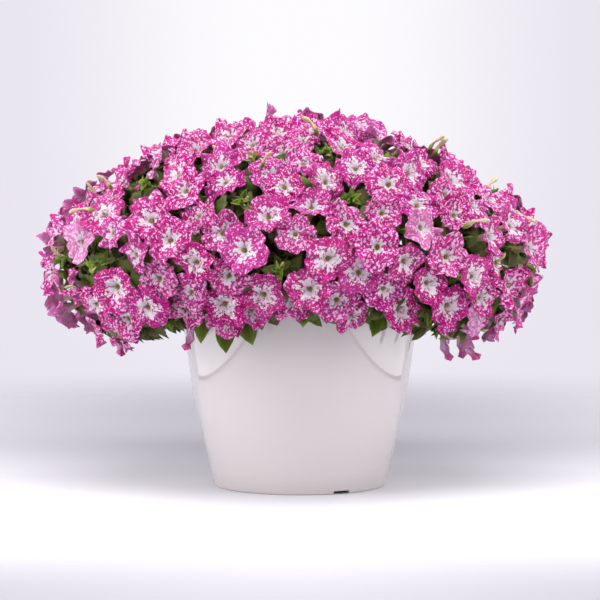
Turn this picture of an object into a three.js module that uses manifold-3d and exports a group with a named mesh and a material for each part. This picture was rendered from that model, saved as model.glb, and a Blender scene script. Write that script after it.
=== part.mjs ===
// Potted petunia: a round glossy planter, its soil, and three petunias that
// together make one wide dome of blooms. Millimetres, +Z up. The origin is at
// the centre of the pot's foot on the ground, and the front faces -Y.

import * as THREE from "three";
import { mergeVertices } from "three/addons/utils/BufferGeometryUtils.js";
import Module from "manifold-3d";

const manifoldLibrary = await Module();
manifoldLibrary.setup();

// Driving dimensions of the pot
const POT_HEIGHT = 255;
const RIM_RADIUS = 154.5;
const FOOT_RADIUS = 109.5;
const POT_BELLY = 0.526; // how far the wall bulges beyond a straight cone
const POT_WALL = 5;
const POT_SIDES = 36;
const WALL_STEPS = 5;
const SOIL_STEPS = 2;
const FOOT_RING_WIDTH = 9;
const FOOT_RING_HEIGHT = 12;
const FLOOR_THICKNESS = 5;
const FOOT_EDGE = 2.5;
const NOTCH = { count: 3, width: 22, height: 4, azimuth: -62 };
const DRAIN_HOLE = { count: 4, radius: 5, ring: 55 };

// Driving dimensions of the soil and of the crowns that stand in it
const FIT = 0.3; // gap between two pieces that touch
const SOIL_TOP = 236;
const CROWN = { ring: 70, radius: 7, depth: 30, top: 270, sides: 8 };
const CROWN_HOLE_RADIUS = 8;
const PLANTS = [
  { name: "plant_back", azimuth: 90 },
  { name: "plant_left", azimuth: 210 },
  { name: "plant_right", azimuth: 330 },
];

// The dome on which the throats of the blooms lie
const DOME = {
  x: -8,
  z: 300,
  reach: 314,
  rise: 161,
  drop: 119,
  dropAtSides: 27,
  upperPower: 1.65,
  lowerPower: 2.5,
  lowestAngle: -50,
};
const PROFILE_STEPS = 200;
const FRONT_DENSITY = 0.16; // how much closer the blooms stand on the sunny front
const BACK_SIZE = 0.07; // how much wider they open on the back, where they have room
const SITE_JITTER = 5;
const SITE_LIFT = 6;

// The rings of sites from the top down: how many, and in how many bunches
const RINGS = [
  { sites: 6, bunches: 1, root: 48 },
  { sites: 33, bunches: 6, root: 50 },
  { sites: 58, bunches: 11, root: 52 },
  { sites: 83, bunches: 15, root: 56 },
  { sites: 84, bunches: 15, root: 68 },
];

// One bloom: a limb of five lobes on a funnel that narrows to its tube
const LOBES = 5;
const BLOOM_RADIUS = 28;
const BLOOM = {
  notch: 0.84,
  ruffle: 2.6,
  throatRadius: 5,
  throatDepth: 3,
  neckRadius: 7.4,
  neckDepth: 8,
  pitDepth: 4,
};
const FACING_LIFT = 0.66; // a bloom leans out from the dome's own normal
const FACING_DROP = 0.45;
const FACING_TUBE = 0.3;
const CLEARANCE = 0.2; // from a bloom to the plane between it and its neighbour

// Foliage, stems, shoots and leaves
const CORE = { depth: 88, bottom: -38, taper: 0.82, rows: 4, columns: 5, lump: 0.05, apart: 6 };
const KNOB = { top: 5.6, bottom: 3.6, height: 10, sides: 5, sunk: 3.5 };
const STEM = { radius: 2.6, sides: 3, steps: 3, rise: 40, straight: 0.4, fork: 0.55 };
const SHOOT = { radius: 2, collar: 2.5, from: 0.72, depth: 13 };
const LEAF = { length: 37, width: 20, thickness: 1.4, fold: 2.6, arch: 3.5, tilt: 46 };

const GOLDEN_ANGLE = Math.PI * (3 - Math.sqrt(5));
const DEGREE = Math.PI / 180;

const COLOURS = {
  pot: { color: 0xded5d6, roughness: 0.12, metalness: 0 },
  soil: { color: 0x3b2a20, roughness: 0.95, metalness: 0 },
  green: { color: 0x4f7a2c, roughness: 0.6, metalness: 0 },
  bloom: { color: 0xd6409a, roughness: 0.65, metalness: 0 },
};

// Solids

function volumeOf(positions, index) {
  const a = new THREE.Vector3();
  const b = new THREE.Vector3();
  const c = new THREE.Vector3();
  let volume = 0;
  for (let i = 0; i < index.count; i += 3) {
    a.fromBufferAttribute(positions, index.getX(i));
    b.fromBufferAttribute(positions, index.getX(i + 1));
    c.fromBufferAttribute(positions, index.getX(i + 2));
    volume += a.dot(b.cross(c)) / 6;
  }
  return volume;
}

function solidFrom(geometry) {
  const bare = geometry.clone();
  bare.deleteAttribute("normal");
  bare.deleteAttribute("uv");
  const merged = mergeVertices(bare, 1e-4);
  const turned = volumeOf(merged.attributes.position, merged.index) < 0;
  const triangles = Uint32Array.from(merged.index.array);
  if (turned) triangles.reverse();
  const mesh = new manifoldLibrary.Mesh({
    numProp: 3,
    vertProperties: Float32Array.from(merged.attributes.position.array),
    triVerts: triangles,
  });
  return new manifoldLibrary.Manifold(mesh);
}

function geometryFrom(solid) {
  const mesh = solid.getMesh();
  const geometry = new THREE.BufferGeometry();
  geometry.setAttribute("position", new THREE.BufferAttribute(mesh.vertProperties, 3));
  geometry.setIndex(new THREE.BufferAttribute(mesh.triVerts, 1));
  return geometry;
}

function joined(solids) {
  return solids.reduce((whole, solid) => whole.add(solid));
}

function largestBody(solid) {
  const bodies = solid.decompose();
  return bodies.reduce((best, body) => (body.volume() > best.volume() ? body : best));
}

function facetedGeometry(points, faces) {
  const geometry = new THREE.BufferGeometry();
  geometry.setFromPoints(points);
  geometry.setIndex(faces.flat());
  return geometry;
}

function latheUpright(profile, sides) {
  const points = profile.map(([radius, height]) => new THREE.Vector2(radius, height));
  const geometry = new THREE.LatheGeometry(points, sides);
  geometry.rotateX(Math.PI / 2);
  return geometry;
}

function uprightCylinder(topRadius, bottomRadius, bottom, top, sides, x, y) {
  const geometry = new THREE.CylinderGeometry(topRadius, bottomRadius, top - bottom, sides);
  geometry.rotateX(Math.PI / 2);
  geometry.translate(x, y, (top + bottom) / 2);
  return geometry;
}

// A tapered rod between two points
function rodBetween(start, end, startRadius, endRadius, sides) {
  const along = end.clone().sub(start);
  const geometry = new THREE.CylinderGeometry(endRadius, startRadius, along.length(), sides);
  const turn = new THREE.Quaternion();
  turn.setFromUnitVectors(new THREE.Vector3(0, 1, 0), along.clone().normalize());
  geometry.applyQuaternion(turn);
  const middle = start.clone().add(end).multiplyScalar(0.5);
  geometry.translate(middle.x, middle.y, middle.z);
  return geometry;
}

// Seeded chance: the same index and channel always give the same number from 0 to 1

function chance(index, channel) {
  let bits = Math.imul(index + 1, 0x9e3779b1) ^ Math.imul(channel + 1, 0x85ebca6b);
  bits = Math.imul(bits ^ (bits >>> 15), 0xc2b2ae35);
  bits = Math.imul(bits ^ (bits >>> 13), 0x27d4eb2f);
  return ((bits ^ (bits >>> 16)) >>> 0) / 2 ** 32;
}

function between(low, high, index, channel) {
  return low + (high - low) * chance(index, channel);
}

// The pot

function potRadius(height) {
  const t = height / POT_HEIGHT;
  return FOOT_RADIUS + (RIM_RADIUS - FOOT_RADIUS) * (t + POT_BELLY * t * (1 - t));
}

function polar(radius, azimuth, z) {
  return new THREE.Vector3(radius * Math.cos(azimuth), radius * Math.sin(azimuth), z);
}

function potFloorTop() {
  return FOOT_RING_HEIGHT + FLOOR_THICKNESS;
}

function makePot() {
  const footInside = FOOT_RADIUS - FOOT_RING_WIDTH;
  const lip = POT_WALL / 2;
  const profile = [
    [0, FOOT_RING_HEIGHT],
    [footInside, FOOT_RING_HEIGHT],
    [footInside, 0],
    [FOOT_RADIUS - FOOT_EDGE, 0],
  ];
  for (let step = 0; step <= WALL_STEPS; step += 1) {
    const height = FOOT_EDGE + ((POT_HEIGHT - lip - FOOT_EDGE) * step) / WALL_STEPS;
    profile.push([potRadius(height), height]);
  }
  profile.push([RIM_RADIUS - lip, POT_HEIGHT]);
  for (let step = WALL_STEPS; step >= 0; step -= 1) {
    const height = potFloorTop() + ((POT_HEIGHT - lip - potFloorTop()) * step) / WALL_STEPS;
    profile.push([potRadius(height) - POT_WALL, height]);
  }
  profile.push([0, potFloorTop()]);
  let pot = solidFrom(latheUpright(profile, POT_SIDES));
  for (let i = 0; i < NOTCH.count; i += 1) {
    const azimuth = (NOTCH.azimuth + (360 * i) / NOTCH.count) * DEGREE;
    const notch = new THREE.BoxGeometry(FOOT_RING_WIDTH * 3, NOTCH.width, NOTCH.height * 2);
    notch.rotateZ(azimuth);
    const place = polar(FOOT_RADIUS - FOOT_RING_WIDTH / 2, azimuth, 0);
    notch.translate(place.x, place.y, 0);
    pot = pot.subtract(solidFrom(notch));
  }
  for (let i = 0; i < DRAIN_HOLE.count; i += 1) {
    const place = polar(DRAIN_HOLE.ring, (2 * Math.PI * (i + 0.5)) / DRAIN_HOLE.count, 0);
    const hole = uprightCylinder(
      DRAIN_HOLE.radius, DRAIN_HOLE.radius, 0, potFloorTop() * 2, 12, place.x, place.y,
    );
    pot = pot.subtract(solidFrom(hole));
  }
  return geometryFrom(pot);
}

// The soil: it fills the pot and has a plain hole for each crown

function crownPlace(plant) {
  return polar(CROWN.ring, plant.azimuth * DEGREE, 0);
}

function makeSoil() {
  const bottom = potFloorTop() + FIT;
  const edge = SOIL_TOP - 4;
  const profile = [[0, bottom]];
  for (let step = 0; step <= SOIL_STEPS; step += 1) {
    const height = bottom + ((edge - bottom) * step) / SOIL_STEPS;
    profile.push([potRadius(height) - POT_WALL - FIT, height]);
  }
  profile.push([100, SOIL_TOP], [0, SOIL_TOP + 2]);
  let soil = solidFrom(latheUpright(profile, POT_SIDES));
  for (const plant of PLANTS) {
    const place = crownPlace(plant);
    const hole = uprightCylinder(
      CROWN_HOLE_RADIUS, CROWN_HOLE_RADIUS, SOIL_TOP - CROWN.depth, SOIL_TOP * 2,
      CROWN.sides, place.x, place.y,
    );
    soil = soil.subtract(solidFrom(hole));
  }
  return geometryFrom(soil);
}

// The dome: a ring profile from the top down to the skirt

function signedPower(value, power) {
  return Math.sign(value) * Math.abs(value) ** power;
}

function domeProfile(angle, azimuth) {
  const power = angle > 0 ? DOME.upperPower : DOME.lowerPower;
  const drop = DOME.drop + DOME.dropAtSides * Math.cos(2 * azimuth);
  const height = angle > 0 ? DOME.rise : drop;
  return {
    radius: DOME.reach * Math.cos(angle) ** (2 / power),
    z: height * signedPower(Math.sin(angle), 2 / power),
  };
}

// The dome's angle below which a given share of its area lies, from the top down
function anglesByArea(shares) {
  const lowest = DOME.lowestAngle * DEGREE;
  const meanAzimuth = Math.PI / 4;
  const angles = [];
  const areas = [0];
  for (let step = 0; step <= PROFILE_STEPS; step += 1) {
    angles.push(Math.PI / 2 + ((lowest - Math.PI / 2) * step) / PROFILE_STEPS);
    if (step === 0) continue;
    const from = domeProfile(angles[step - 1], meanAzimuth);
    const to = domeProfile(angles[step], meanAzimuth);
    const length = Math.hypot(to.radius - from.radius, to.z - from.z);
    areas.push(areas[step - 1] + (length * (from.radius + to.radius)) / 2);
  }
  return shares.map((share) => {
    const wanted = share * areas[PROFILE_STEPS];
    let step = 1;
    while (step < PROFILE_STEPS && areas[step] < wanted) step += 1;
    const part = (wanted - areas[step - 1]) / (areas[step] - areas[step - 1]);
    return angles[step - 1] + part * (angles[step] - angles[step - 1]);
  });
}

function direction(azimuth, elevation) {
  return new THREE.Vector3(
    Math.cos(elevation) * Math.cos(azimuth),
    Math.cos(elevation) * Math.sin(azimuth),
    Math.sin(elevation),
  );
}

function domeNormalElevation(angle, azimuth) {
  const step = 0.01;
  const above = domeProfile(Math.min(angle + step, Math.PI / 2), azimuth);
  const below = domeProfile(angle - step, azimuth);
  return Math.atan2(below.radius - above.radius, above.z - below.z);
}

// A site is the place of one bloom or shoot, counted from the dome's top down a
// golden-angle spiral
function makeSites() {
  const count = RINGS.reduce((sum, ring) => sum + ring.sites, 0);
  const shares = Array.from({ length: count }, (_, i) => (i + 0.5) / count);
  return anglesByArea(shares).map((angle, i) => {
    const even = (i * GOLDEN_ANGLE) % (2 * Math.PI);
    const azimuth = even - FRONT_DENSITY * Math.sin(even) - Math.PI / 2;
    const ring = domeProfile(angle, azimuth);
    const lift = between(-SITE_LIFT, SITE_LIFT, i, 0);
    const elevation = Math.atan2(ring.z, ring.radius);
    const away = Math.hypot(ring.radius, ring.z) + lift;
    const place = direction(azimuth, elevation).multiplyScalar(away);
    place.x += between(-SITE_JITTER, SITE_JITTER, i, 1);
    place.y += between(-SITE_JITTER, SITE_JITTER, i, 2);
    place.z += between(-SITE_JITTER, SITE_JITTER, i, 3);
    const normal = domeNormalElevation(angle, azimuth);
    const lean = normal > 0 ? FACING_LIFT : FACING_DROP;
    const facing = direction(
      azimuth + between(-0.32, 0.32, i, 4),
      normal * lean + between(-0.2, 0.2, i, 5),
    );
    const size = between(0.92, 1.12, i, 6) * (1 + BACK_SIZE * Math.sin(azimuth));
    return { index: i, place, facing, size };
  });
}

// Bunches: the sites of a ring, cut into groups that lie side by side. One site
// of each bunch carries a leafy shoot, and the others carry blooms
function makeBunches(sites) {
  const bunches = [];
  let first = 0;
  for (const ring of RINGS) {
    const members = sites.slice(first, first + ring.sites);
    members.sort((a, b) => turnFromBack(a) - turnFromBack(b));
    for (let g = 0; g < ring.bunches; g += 1) {
      const from = Math.floor((g * ring.sites) / ring.bunches);
      const to = Math.floor(((g + 1) * ring.sites) / ring.bunches);
      bunches.push(makeBunch(members.slice(from, to), ring, bunches.length));
    }
    first += ring.sites;
  }
  return bunches;
}

function turnFromBack(site) {
  const turn = Math.atan2(site.place.y, site.place.x) - Math.PI / 2;
  return turn < 0 ? turn + 2 * Math.PI : turn;
}

function makeBunch(members, ring, index) {
  const mean = new THREE.Vector3();
  for (const site of members) mean.addScaledVector(site.place, 1 / members.length);
  const axis = mean.clone().normalize();
  const root = mean.clone().addScaledVector(axis, -ring.root);
  const hangs = ring === RINGS[RINGS.length - 1] && index % 2 === 0;
  const reach = (site) => (hangs ? -site.place.z : site.place.distanceTo(mean));
  const shoot = members.reduce((best, site) => (reach(site) > reach(best) ? site : best));
  const blooms = members.filter((site) => site !== shoot);
  for (const site of blooms) {
    const back = site.place.clone().sub(root).normalize();
    site.facing.addScaledVector(back, FACING_TUBE).normalize();
  }
  const end = root.clone().addScaledVector(axis, -KNOB.height / 2 - FIT);
  return { index, ring, axis, root, end, shoot, blooms, azimuth: Math.atan2(axis.y, axis.x) };
}

// Every site keeps to its own side of the plane between it and each neighbour.
// All these planes pass through the dome's centre
function neighbourPlanes(site, sites) {
  const reach = 130;
  const near = sites.filter(
    (other) => other !== site && other.place.distanceTo(site.place) < reach,
  );
  return near.map((other) => {
    const middle = site.place.clone().add(other.place);
    const side = site.place.clone().cross(other.place);
    const normal = middle.cross(side).normalize();
    return normal.dot(site.place) < 0 ? normal.negate() : normal;
  });
}

function keepInside(point, planes, towards) {
  const anchor = towards.clone().multiplyScalar(point.dot(towards));
  let share = 1;
  for (const normal of planes) {
    const reached = normal.dot(point);
    const held = normal.dot(anchor);
    if (reached < CLEARANCE) share = Math.min(share, (held - CLEARANCE) / (held - reached));
  }
  return anchor.addScaledVector(point.clone().sub(anchor.clone()), share);
}

function frameAround(axis) {
  const level = Math.abs(axis.z) > 0.95 ? new THREE.Vector3(1, 0, 0) : new THREE.Vector3(0, 0, 1);
  const right = level.cross(axis).normalize();
  return { right, up: axis.clone().cross(right).normalize() };
}

// A bloom's points, from the limb's edge inwards and then down its tube

function bloomGeometry(site, planes, root) {
  const axis = site.facing;
  const { right, up } = frameAround(axis);
  const cell = site.place.clone().normalize();
  const spin = between(0, 2 * Math.PI, site.index, 7);
  const radius = BLOOM_RADIUS * site.size;
  const points = [];
  const add = (centre, sideways, upward, r, angle, rise) => {
    const point = centre.clone().addScaledVector(sideways, r * Math.cos(angle));
    point.addScaledVector(upward, r * Math.sin(angle)).addScaledVector(axis, rise);
    points.push(point);
    return points.length - 1;
  };
  const fifth = (2 * Math.PI) / LOBES;
  const tip = [];
  const notch = [];
  const throat = [];
  for (let j = 0; j < LOBES; j += 1) {
    const turn = spin + j * fifth;
    const lobe = radius * between(0.95, 1.05, site.index, 10 + j);
    const curl = between(-BLOOM.ruffle, BLOOM.ruffle * 0.4, site.index, 20 + j);
    tip.push(add(site.place, right, up, lobe, turn, curl));
    notch.push(add(site.place, right, up, radius * BLOOM.notch, turn + fifth / 2, 0.8));
    throat.push(add(site.place, right, up, BLOOM.throatRadius, turn, -BLOOM.throatDepth));
  }
  for (const index of [...tip, ...notch]) {
    points[index] = keepInside(points[index], planes, cell);
  }
  const neck = [0, 4, 7].map((step) => {
    const turn = spin + (step * fifth) / 2;
    return add(site.place, right, up, BLOOM.neckRadius, turn, -BLOOM.neckDepth);
  });
  const neckCentre = site.place.clone().addScaledVector(axis, -BLOOM.neckDepth);
  const tube = root.clone().sub(neckCentre).normalize();
  const pit = points.push(neckCentre.clone().addScaledVector(tube, BLOOM.pitDepth)) - 1;
  const end = points.push(root.clone().addScaledVector(tube, KNOB.sunk)) - 1;
  const faces = [];
  for (let j = 0; j < LOBES; j += 1) {
    const next = (j + 1) % LOBES;
    const last = (j + LOBES - 1) % LOBES;
    faces.push([throat[j], notch[last], tip[j]], [throat[j], tip[j], notch[j]]);
    faces.push([throat[j], notch[j], throat[next]], [throat[j], throat[next], pit]);
  }
  const outline = tip.flatMap((corner, j) => [corner, notch[j]]);
  const nearestNeck = [0, 0, 1, 1, 1, 1, 2, 2, 2, 0];
  outline.forEach((corner, i) => {
    const after = (i + 1) % outline.length;
    const held = neck[nearestNeck[i]];
    const heldAfter = neck[nearestNeck[after]];
    faces.push([held, outline[after], corner]);
    if (held !== heldAfter) faces.push([held, heldAfter, outline[after]], [heldAfter, held, end]);
  });
  return facetedGeometry(points, faces);
}

// A bunch of blooms, whose tubes meet in a small knob at the end of the stem

function makeBloomBunch(bunch, sites) {
  const half = bunch.axis.clone().multiplyScalar(KNOB.height / 2);
  const low = bunch.root.clone().sub(half);
  const high = bunch.root.clone().add(half);
  const solids = [solidFrom(rodBetween(low, high, KNOB.bottom, KNOB.top, KNOB.sides))];
  for (const site of bunch.blooms) {
    solids.push(solidFrom(bloomGeometry(site, neighbourPlanes(site, sites), bunch.root)));
  }
  return geometryFrom(joined(solids));
}

// A leafy shoot: a slim three-sided stalk, from each side of whose tip one pointed,
// ovate leaf grows, folded along its midrib and arched
function shootGeometry(site, start, planes) {
  const cell = site.place.clone().normalize();
  const { right, up } = frameAround(cell);
  const top = site.place.clone().addScaledVector(cell, -SHOOT.depth);
  const under = top.clone().addScaledVector(cell, -SHOOT.collar);
  const along = top.clone().sub(start).normalize();
  const bend = new THREE.Quaternion().setFromUnitVectors(cell, along);
  const first = between(0, 2, site.index, 30);
  const points = [];
  const ring = (centre, turned) => [0, 1, 2].map((k) => {
    const out = right.clone().multiplyScalar(Math.cos(first + (k * 2 * Math.PI) / 3));
    out.addScaledVector(up, Math.sin(first + (k * 2 * Math.PI) / 3));
    if (turned) out.applyQuaternion(bend);
    return points.push(centre.clone().addScaledVector(out, SHOOT.radius)) - 1;
  });
  const foot = ring(start, true);
  const low = ring(under, false);
  const high = ring(top, false);
  const faces = [[foot[0], foot[2], foot[1]], high];
  for (let k = 0; k < 3; k += 1) {
    const next = (k + 1) % 3;
    faces.push([foot[k], foot[next], low[next]], [foot[k], low[next], low[k]]);
    const turn = first + ((k + 0.5) * 2 * Math.PI) / 3;
    const leaf = leafPoints(site, top, cell, right, up, turn, k);
    const [near, far, tip, farther, nearer, above, below] = leaf.map(
      (point) => points.push(keepInside(point, planes, cell)) - 1,
    );
    const blade = [near, far, tip, farther, nearer];
    const upper = [high[k], ...blade, high[next]];
    const lower = [low[k], ...blade, low[next]];
    for (let i = 0; i < upper.length; i += 1) {
      const after = (i + 1) % upper.length;
      faces.push([upper[i], upper[after], above], [lower[i], below, lower[after]]);
    }
    faces.push([near, high[k], low[k]], [high[next], nearer, low[next]]);
  }
  return facetedGeometry(points, faces);
}

function leafPoints(site, start, cell, right, up, turn, k) {
  const out = right.clone().multiplyScalar(Math.cos(turn)).addScaledVector(up, Math.sin(turn));
  const tilt = (LEAF.tilt + between(-12, 12, site.index, 31 + k)) * DEGREE;
  const along = cell.clone().multiplyScalar(Math.cos(tilt));
  along.addScaledVector(out, Math.sin(tilt));
  const over = cell.clone().multiplyScalar(Math.sin(tilt)).addScaledVector(out, -Math.cos(tilt));
  const side = over.clone().cross(along);
  const length = LEAF.length * between(0.85, 1.12, site.index, 34 + k);
  const ridge = LEAF.arch * 0.6;
  const place = (x, y, z) => {
    const point = start.clone().addScaledVector(along, x * length);
    return point.addScaledVector(side, (y * LEAF.width) / 2).addScaledVector(over, z);
  };
  return [
    place(0.34, -1, ridge + LEAF.fold),
    place(0.7, -0.66, ridge + LEAF.fold),
    place(1, 0, -LEAF.arch),
    place(0.7, 0.66, ridge + LEAF.fold),
    place(0.34, 1, ridge + LEAF.fold),
    place(0.5, 0, ridge + LEAF.thickness),
    place(0.5, 0, ridge),
  ];
}

// A plant's green parts: crown, one stem to each bunch, and a leafy shoot beside it

// The dense foliage inside a plant: a lumpy wedge, far below the blooms, that the
// stems and shoots stand out of
function coreGeometry(plant) {
  const middle = plant.azimuth * DEGREE;
  const span = (2 * Math.PI) / PLANTS.length;
  const lumps = PLANTS.indexOf(plant) + 1;
  const points = [new THREE.Vector3(0, 0, DOME.rise - CORE.depth)];
  const rows = [];
  for (let i = 1; i <= CORE.rows + 1; i += 1) {
    const row = [];
    for (let j = 0; j <= CORE.columns; j += 1) {
      const azimuth = middle + span * (j / CORE.columns - 0.5);
      const angle = Math.max(0, (Math.PI / 2) * (1 - i / CORE.rows));
      const ring = domeProfile(angle, azimuth);
      const lump = 1 + CORE.lump * (2 * chance(i * 16 + j, 50 + lumps) - 1);
      const away = (Math.hypot(ring.radius, ring.z) - CORE.depth) * lump;
      const point = direction(azimuth, Math.atan2(ring.z, ring.radius)).multiplyScalar(away);
      if (i > CORE.rows) point.multiplyScalar(CORE.taper).setZ(CORE.bottom);
      row.push(points.push(point) - 1);
    }
    rows.push(row);
  }
  const top = 0;
  const bottom = points.push(new THREE.Vector3(0, 0, CORE.bottom)) - 1;
  for (const point of points) point.add(polar(CORE.apart, middle, 0));
  const faces = [];
  for (let j = 0; j < CORE.columns; j += 1) {
    faces.push([rows[0][j], rows[0][j + 1], top]);
    for (let i = 0; i < CORE.rows; i += 1) {
      const [upper, lower] = [rows[i], rows[i + 1]];
      faces.push([lower[j], lower[j + 1], upper[j + 1]], [lower[j], upper[j + 1], upper[j]]);
    }
    faces.push([rows[CORE.rows][j + 1], rows[CORE.rows][j], bottom]);
  }
  for (const [column, turned] of [[0, false], [CORE.columns, true]]) {
    const edge = [top, ...rows.map((row) => row[column])];
    for (let i = 0; i < edge.length - 1; i += 1) {
      faces.push(turned ? [bottom, edge[i], edge[i + 1]] : [bottom, edge[i + 1], edge[i]]);
    }
  }
  return facetedGeometry(points, faces);
}

// A stem rises from the crown, or forks from the stem of the bunch above it
function stemPath(bunch, plant, grown) {
  const above = RINGS[RINGS.indexOf(bunch.ring) - 1];
  const parents = grown.filter((other) => other.ring === above && above !== RINGS[0]);
  const crown = crownPlace(plant).setZ(CROWN.top);
  let start = crown.sub(domeCentre());
  let first = start.clone().setZ(start.z + STEM.rise);
  if (parents.length > 0) {
    const gap = (other) => other.root.distanceTo(bunch.root);
    const parent = parents.reduce((best, other) => (gap(other) < gap(best) ? other : best));
    start = parent.path.getPoint(STEM.fork);
    first = start.clone().lerp(bunch.end, 0.3);
    first.z += STEM.rise / 4;
  }
  const straight = bunch.end.distanceTo(start) * STEM.straight;
  const last = bunch.end.clone().addScaledVector(bunch.axis, -straight);
  return new THREE.CubicBezierCurve3(start, first, last, bunch.end.clone());
}

function stemSolid(path) {
  const section = new THREE.Shape();
  for (let i = 0; i < STEM.sides; i += 1) {
    const angle = (2 * Math.PI * i) / STEM.sides;
    const corner = [STEM.radius * Math.cos(angle), STEM.radius * Math.sin(angle)];
    if (i === 0) section.moveTo(...corner);
    else section.lineTo(...corner);
  }
  const geometry = new THREE.ExtrudeGeometry(section, {
    steps: STEM.steps, bevelEnabled: false, extrudePath: path,
  });
  return solidFrom(geometry);
}

function makeGreens(plant, bunches, sites) {
  const place = crownPlace(plant);
  const foot = SOIL_TOP - CROWN.depth + FIT;
  const crown = uprightCylinder(
    CROWN.radius * 0.8, CROWN.radius, foot, CROWN.top, CROWN.sides, place.x, place.y,
  );
  const centre = domeCentre().toArray();
  const solids = [solidFrom(crown), solidFrom(coreGeometry(plant)).translate(centre)];
  bunches.forEach((bunch, i) => {
    bunch.path = stemPath(bunch, plant, bunches.slice(0, i));
    const planes = neighbourPlanes(bunch.shoot, sites);
    const shoot = shootGeometry(bunch.shoot, bunch.path.getPoint(SHOOT.from), planes);
    solids.push(stemSolid(bunch.path).translate(centre), solidFrom(shoot).translate(centre));
  });
  return geometryFrom(largestBody(joined(solids)));
}

// Sites and bunches are measured from the dome's centre
function domeCentre() {
  return new THREE.Vector3(DOME.x, 0, DOME.z);
}

function nearestPlant(bunch) {
  const gap = (plant) => {
    const turn = bunch.azimuth - plant.azimuth * DEGREE;
    return Math.abs(Math.atan2(Math.sin(turn), Math.cos(turn)));
  };
  return PLANTS.reduce((best, plant) => (gap(plant) < gap(best) ? plant : best));
}

// The whole part

const petunia = new THREE.Group();

function addPiece(name, geometry, colours) {
  const mesh = new THREE.Mesh(geometry, new THREE.MeshStandardMaterial(colours));
  mesh.name = name;
  petunia.add(mesh);
  return mesh;
}

addPiece("pot", makePot(), COLOURS.pot);
addPiece("soil", makeSoil(), COLOURS.soil);
const allSites = makeSites();
const allBunches = makeBunches(allSites);
for (const plant of PLANTS) {
  const own = allBunches.filter((bunch) => nearestPlant(bunch) === plant);
  addPiece(`${plant.name}_greens`, makeGreens(plant, own, allSites), COLOURS.green);
  own.forEach((bunch, i) => {
    const name = `${plant.name}_blooms_${String(i + 1).padStart(2, "0")}`;
    const mesh = addPiece(name, makeBloomBunch(bunch, allSites), COLOURS.bloom);
    mesh.position.copy(domeCentre());
  });
}

export default petunia;
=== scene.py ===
"""Potted petunia: the looks of the packed part, in metres, in its own frame.

The pot, the soil and the three plants are built from the rule that also placed the
blooms and shoots of the frame, so that each fine piece stands where its node does.
"""

import copy
import math

import bpy
import numpy as np
from mathutils import Matrix, Vector


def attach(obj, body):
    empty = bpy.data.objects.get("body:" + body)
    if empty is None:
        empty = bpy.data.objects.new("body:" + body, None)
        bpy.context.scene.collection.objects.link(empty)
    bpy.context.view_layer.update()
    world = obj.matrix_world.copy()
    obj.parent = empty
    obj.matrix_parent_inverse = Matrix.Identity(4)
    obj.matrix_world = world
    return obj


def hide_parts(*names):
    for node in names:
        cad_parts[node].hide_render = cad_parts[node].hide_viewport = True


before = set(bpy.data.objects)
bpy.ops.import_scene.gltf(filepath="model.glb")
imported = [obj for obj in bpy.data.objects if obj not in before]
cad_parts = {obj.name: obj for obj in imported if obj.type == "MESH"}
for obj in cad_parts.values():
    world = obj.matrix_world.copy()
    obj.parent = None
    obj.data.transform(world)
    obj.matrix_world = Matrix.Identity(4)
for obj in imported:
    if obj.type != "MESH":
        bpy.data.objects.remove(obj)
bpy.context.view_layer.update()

bl_info = {
    "name": "Potted petunia",
    "version": (1, 0, 0),
    "blender": (4, 5, 0),
    "location": "View3D > Sidebar > Petunia",
    "description": "A bushy petunia with speckled pink blooms in a glossy white planter",
    "category": "Object",
}

# Driving dimensions of the pot and its soil
POT_HEIGHT = 0.255
RIM_RADIUS = 0.1545
FOOT_RADIUS = 0.1095
POT_BELLY = 0.526
POT_WALL = 0.005
FOOT_RING_WIDTH = 0.009
FOOT_RING_HEIGHT = 0.012
FLOOR_THICKNESS = 0.005
NOTCH = {"count": 3, "width": 0.022, "height": 0.004, "azimuth": -62}
DRAIN_HOLE = {"count": 4, "radius": 0.005, "ring": 0.055}
FIT = 0.0003
SOIL_TOP = 0.236
CROWN = {"ring": 0.070, "radius": 0.007, "depth": 0.030, "top": 0.270}
PLANTS = {"plant_back": 90, "plant_left": 210, "plant_right": 330}

# The dome on which the throats of the blooms lie
DOME = {
    "reach": 0.314,
    "rise": 0.161,
    "drop": 0.119,
    "drop_at_sides": 0.027,
    "upper_power": 1.65,
    "lower_power": 2.5,
    "lowest": math.radians(-50),
}
DOME_CENTRE = np.array([-0.008, 0.0, 0.300])
PROFILE_STEPS = 200
FRONT_DENSITY = 0.16
BACK_SIZE = 0.07
SITE_JITTER = 0.005
SITE_LIFT = 0.006
RINGS = [
    {"sites": 6, "bunches": 1, "root": 0.048},
    {"sites": 33, "bunches": 6, "root": 0.050},
    {"sites": 58, "bunches": 11, "root": 0.052},
    {"sites": 83, "bunches": 15, "root": 0.056},
    {"sites": 84, "bunches": 15, "root": 0.068},
]
GOLDEN_ANGLE = math.pi * (3 - math.sqrt(5))

# One bloom
LOBES = 5
BLOOM_RADIUS = 0.028
NOTCH_SHARE = 0.83
LOBE_REACH = (0.84, 1.13)
FULLNESS = 0.99  # reach of a fine limb, which laps over its neighbours, against the frame's
LOBE_CURL = (-0.0065, 0.0025)
YOUNG_SHARE = 0.28
FACING_LIFT = 0.66
FACING_DROP = 0.45
FACING_TUBE = 0.3
PETAL_THICKNESS = 0.0007
COLUMNS = 70
TUBE_COLUMNS = 10
FRONT_ROWS = [0.10, 0.17, 0.27, 0.39, 0.52, 0.64, 0.76, 0.87, 0.95]
BACK_ROWS = [0.95, 0.87, 0.76, 0.64, 0.52, 0.27]
THROAT_DEPTH = {0.10: 0.0058, 0.17: 0.0038, 0.27: 0.0020, 0.39: 0.0009, 0.52: 0.0003}
PIT = [(0.0017, 0.0100), (0.0, 0.0120)]
TUBE_ROWS = [(0.005, 0.0056), (0.011, 0.0043), (0.020, 0.0036), (0.029, 0.0029), (0.034, 0.0023)]
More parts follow.
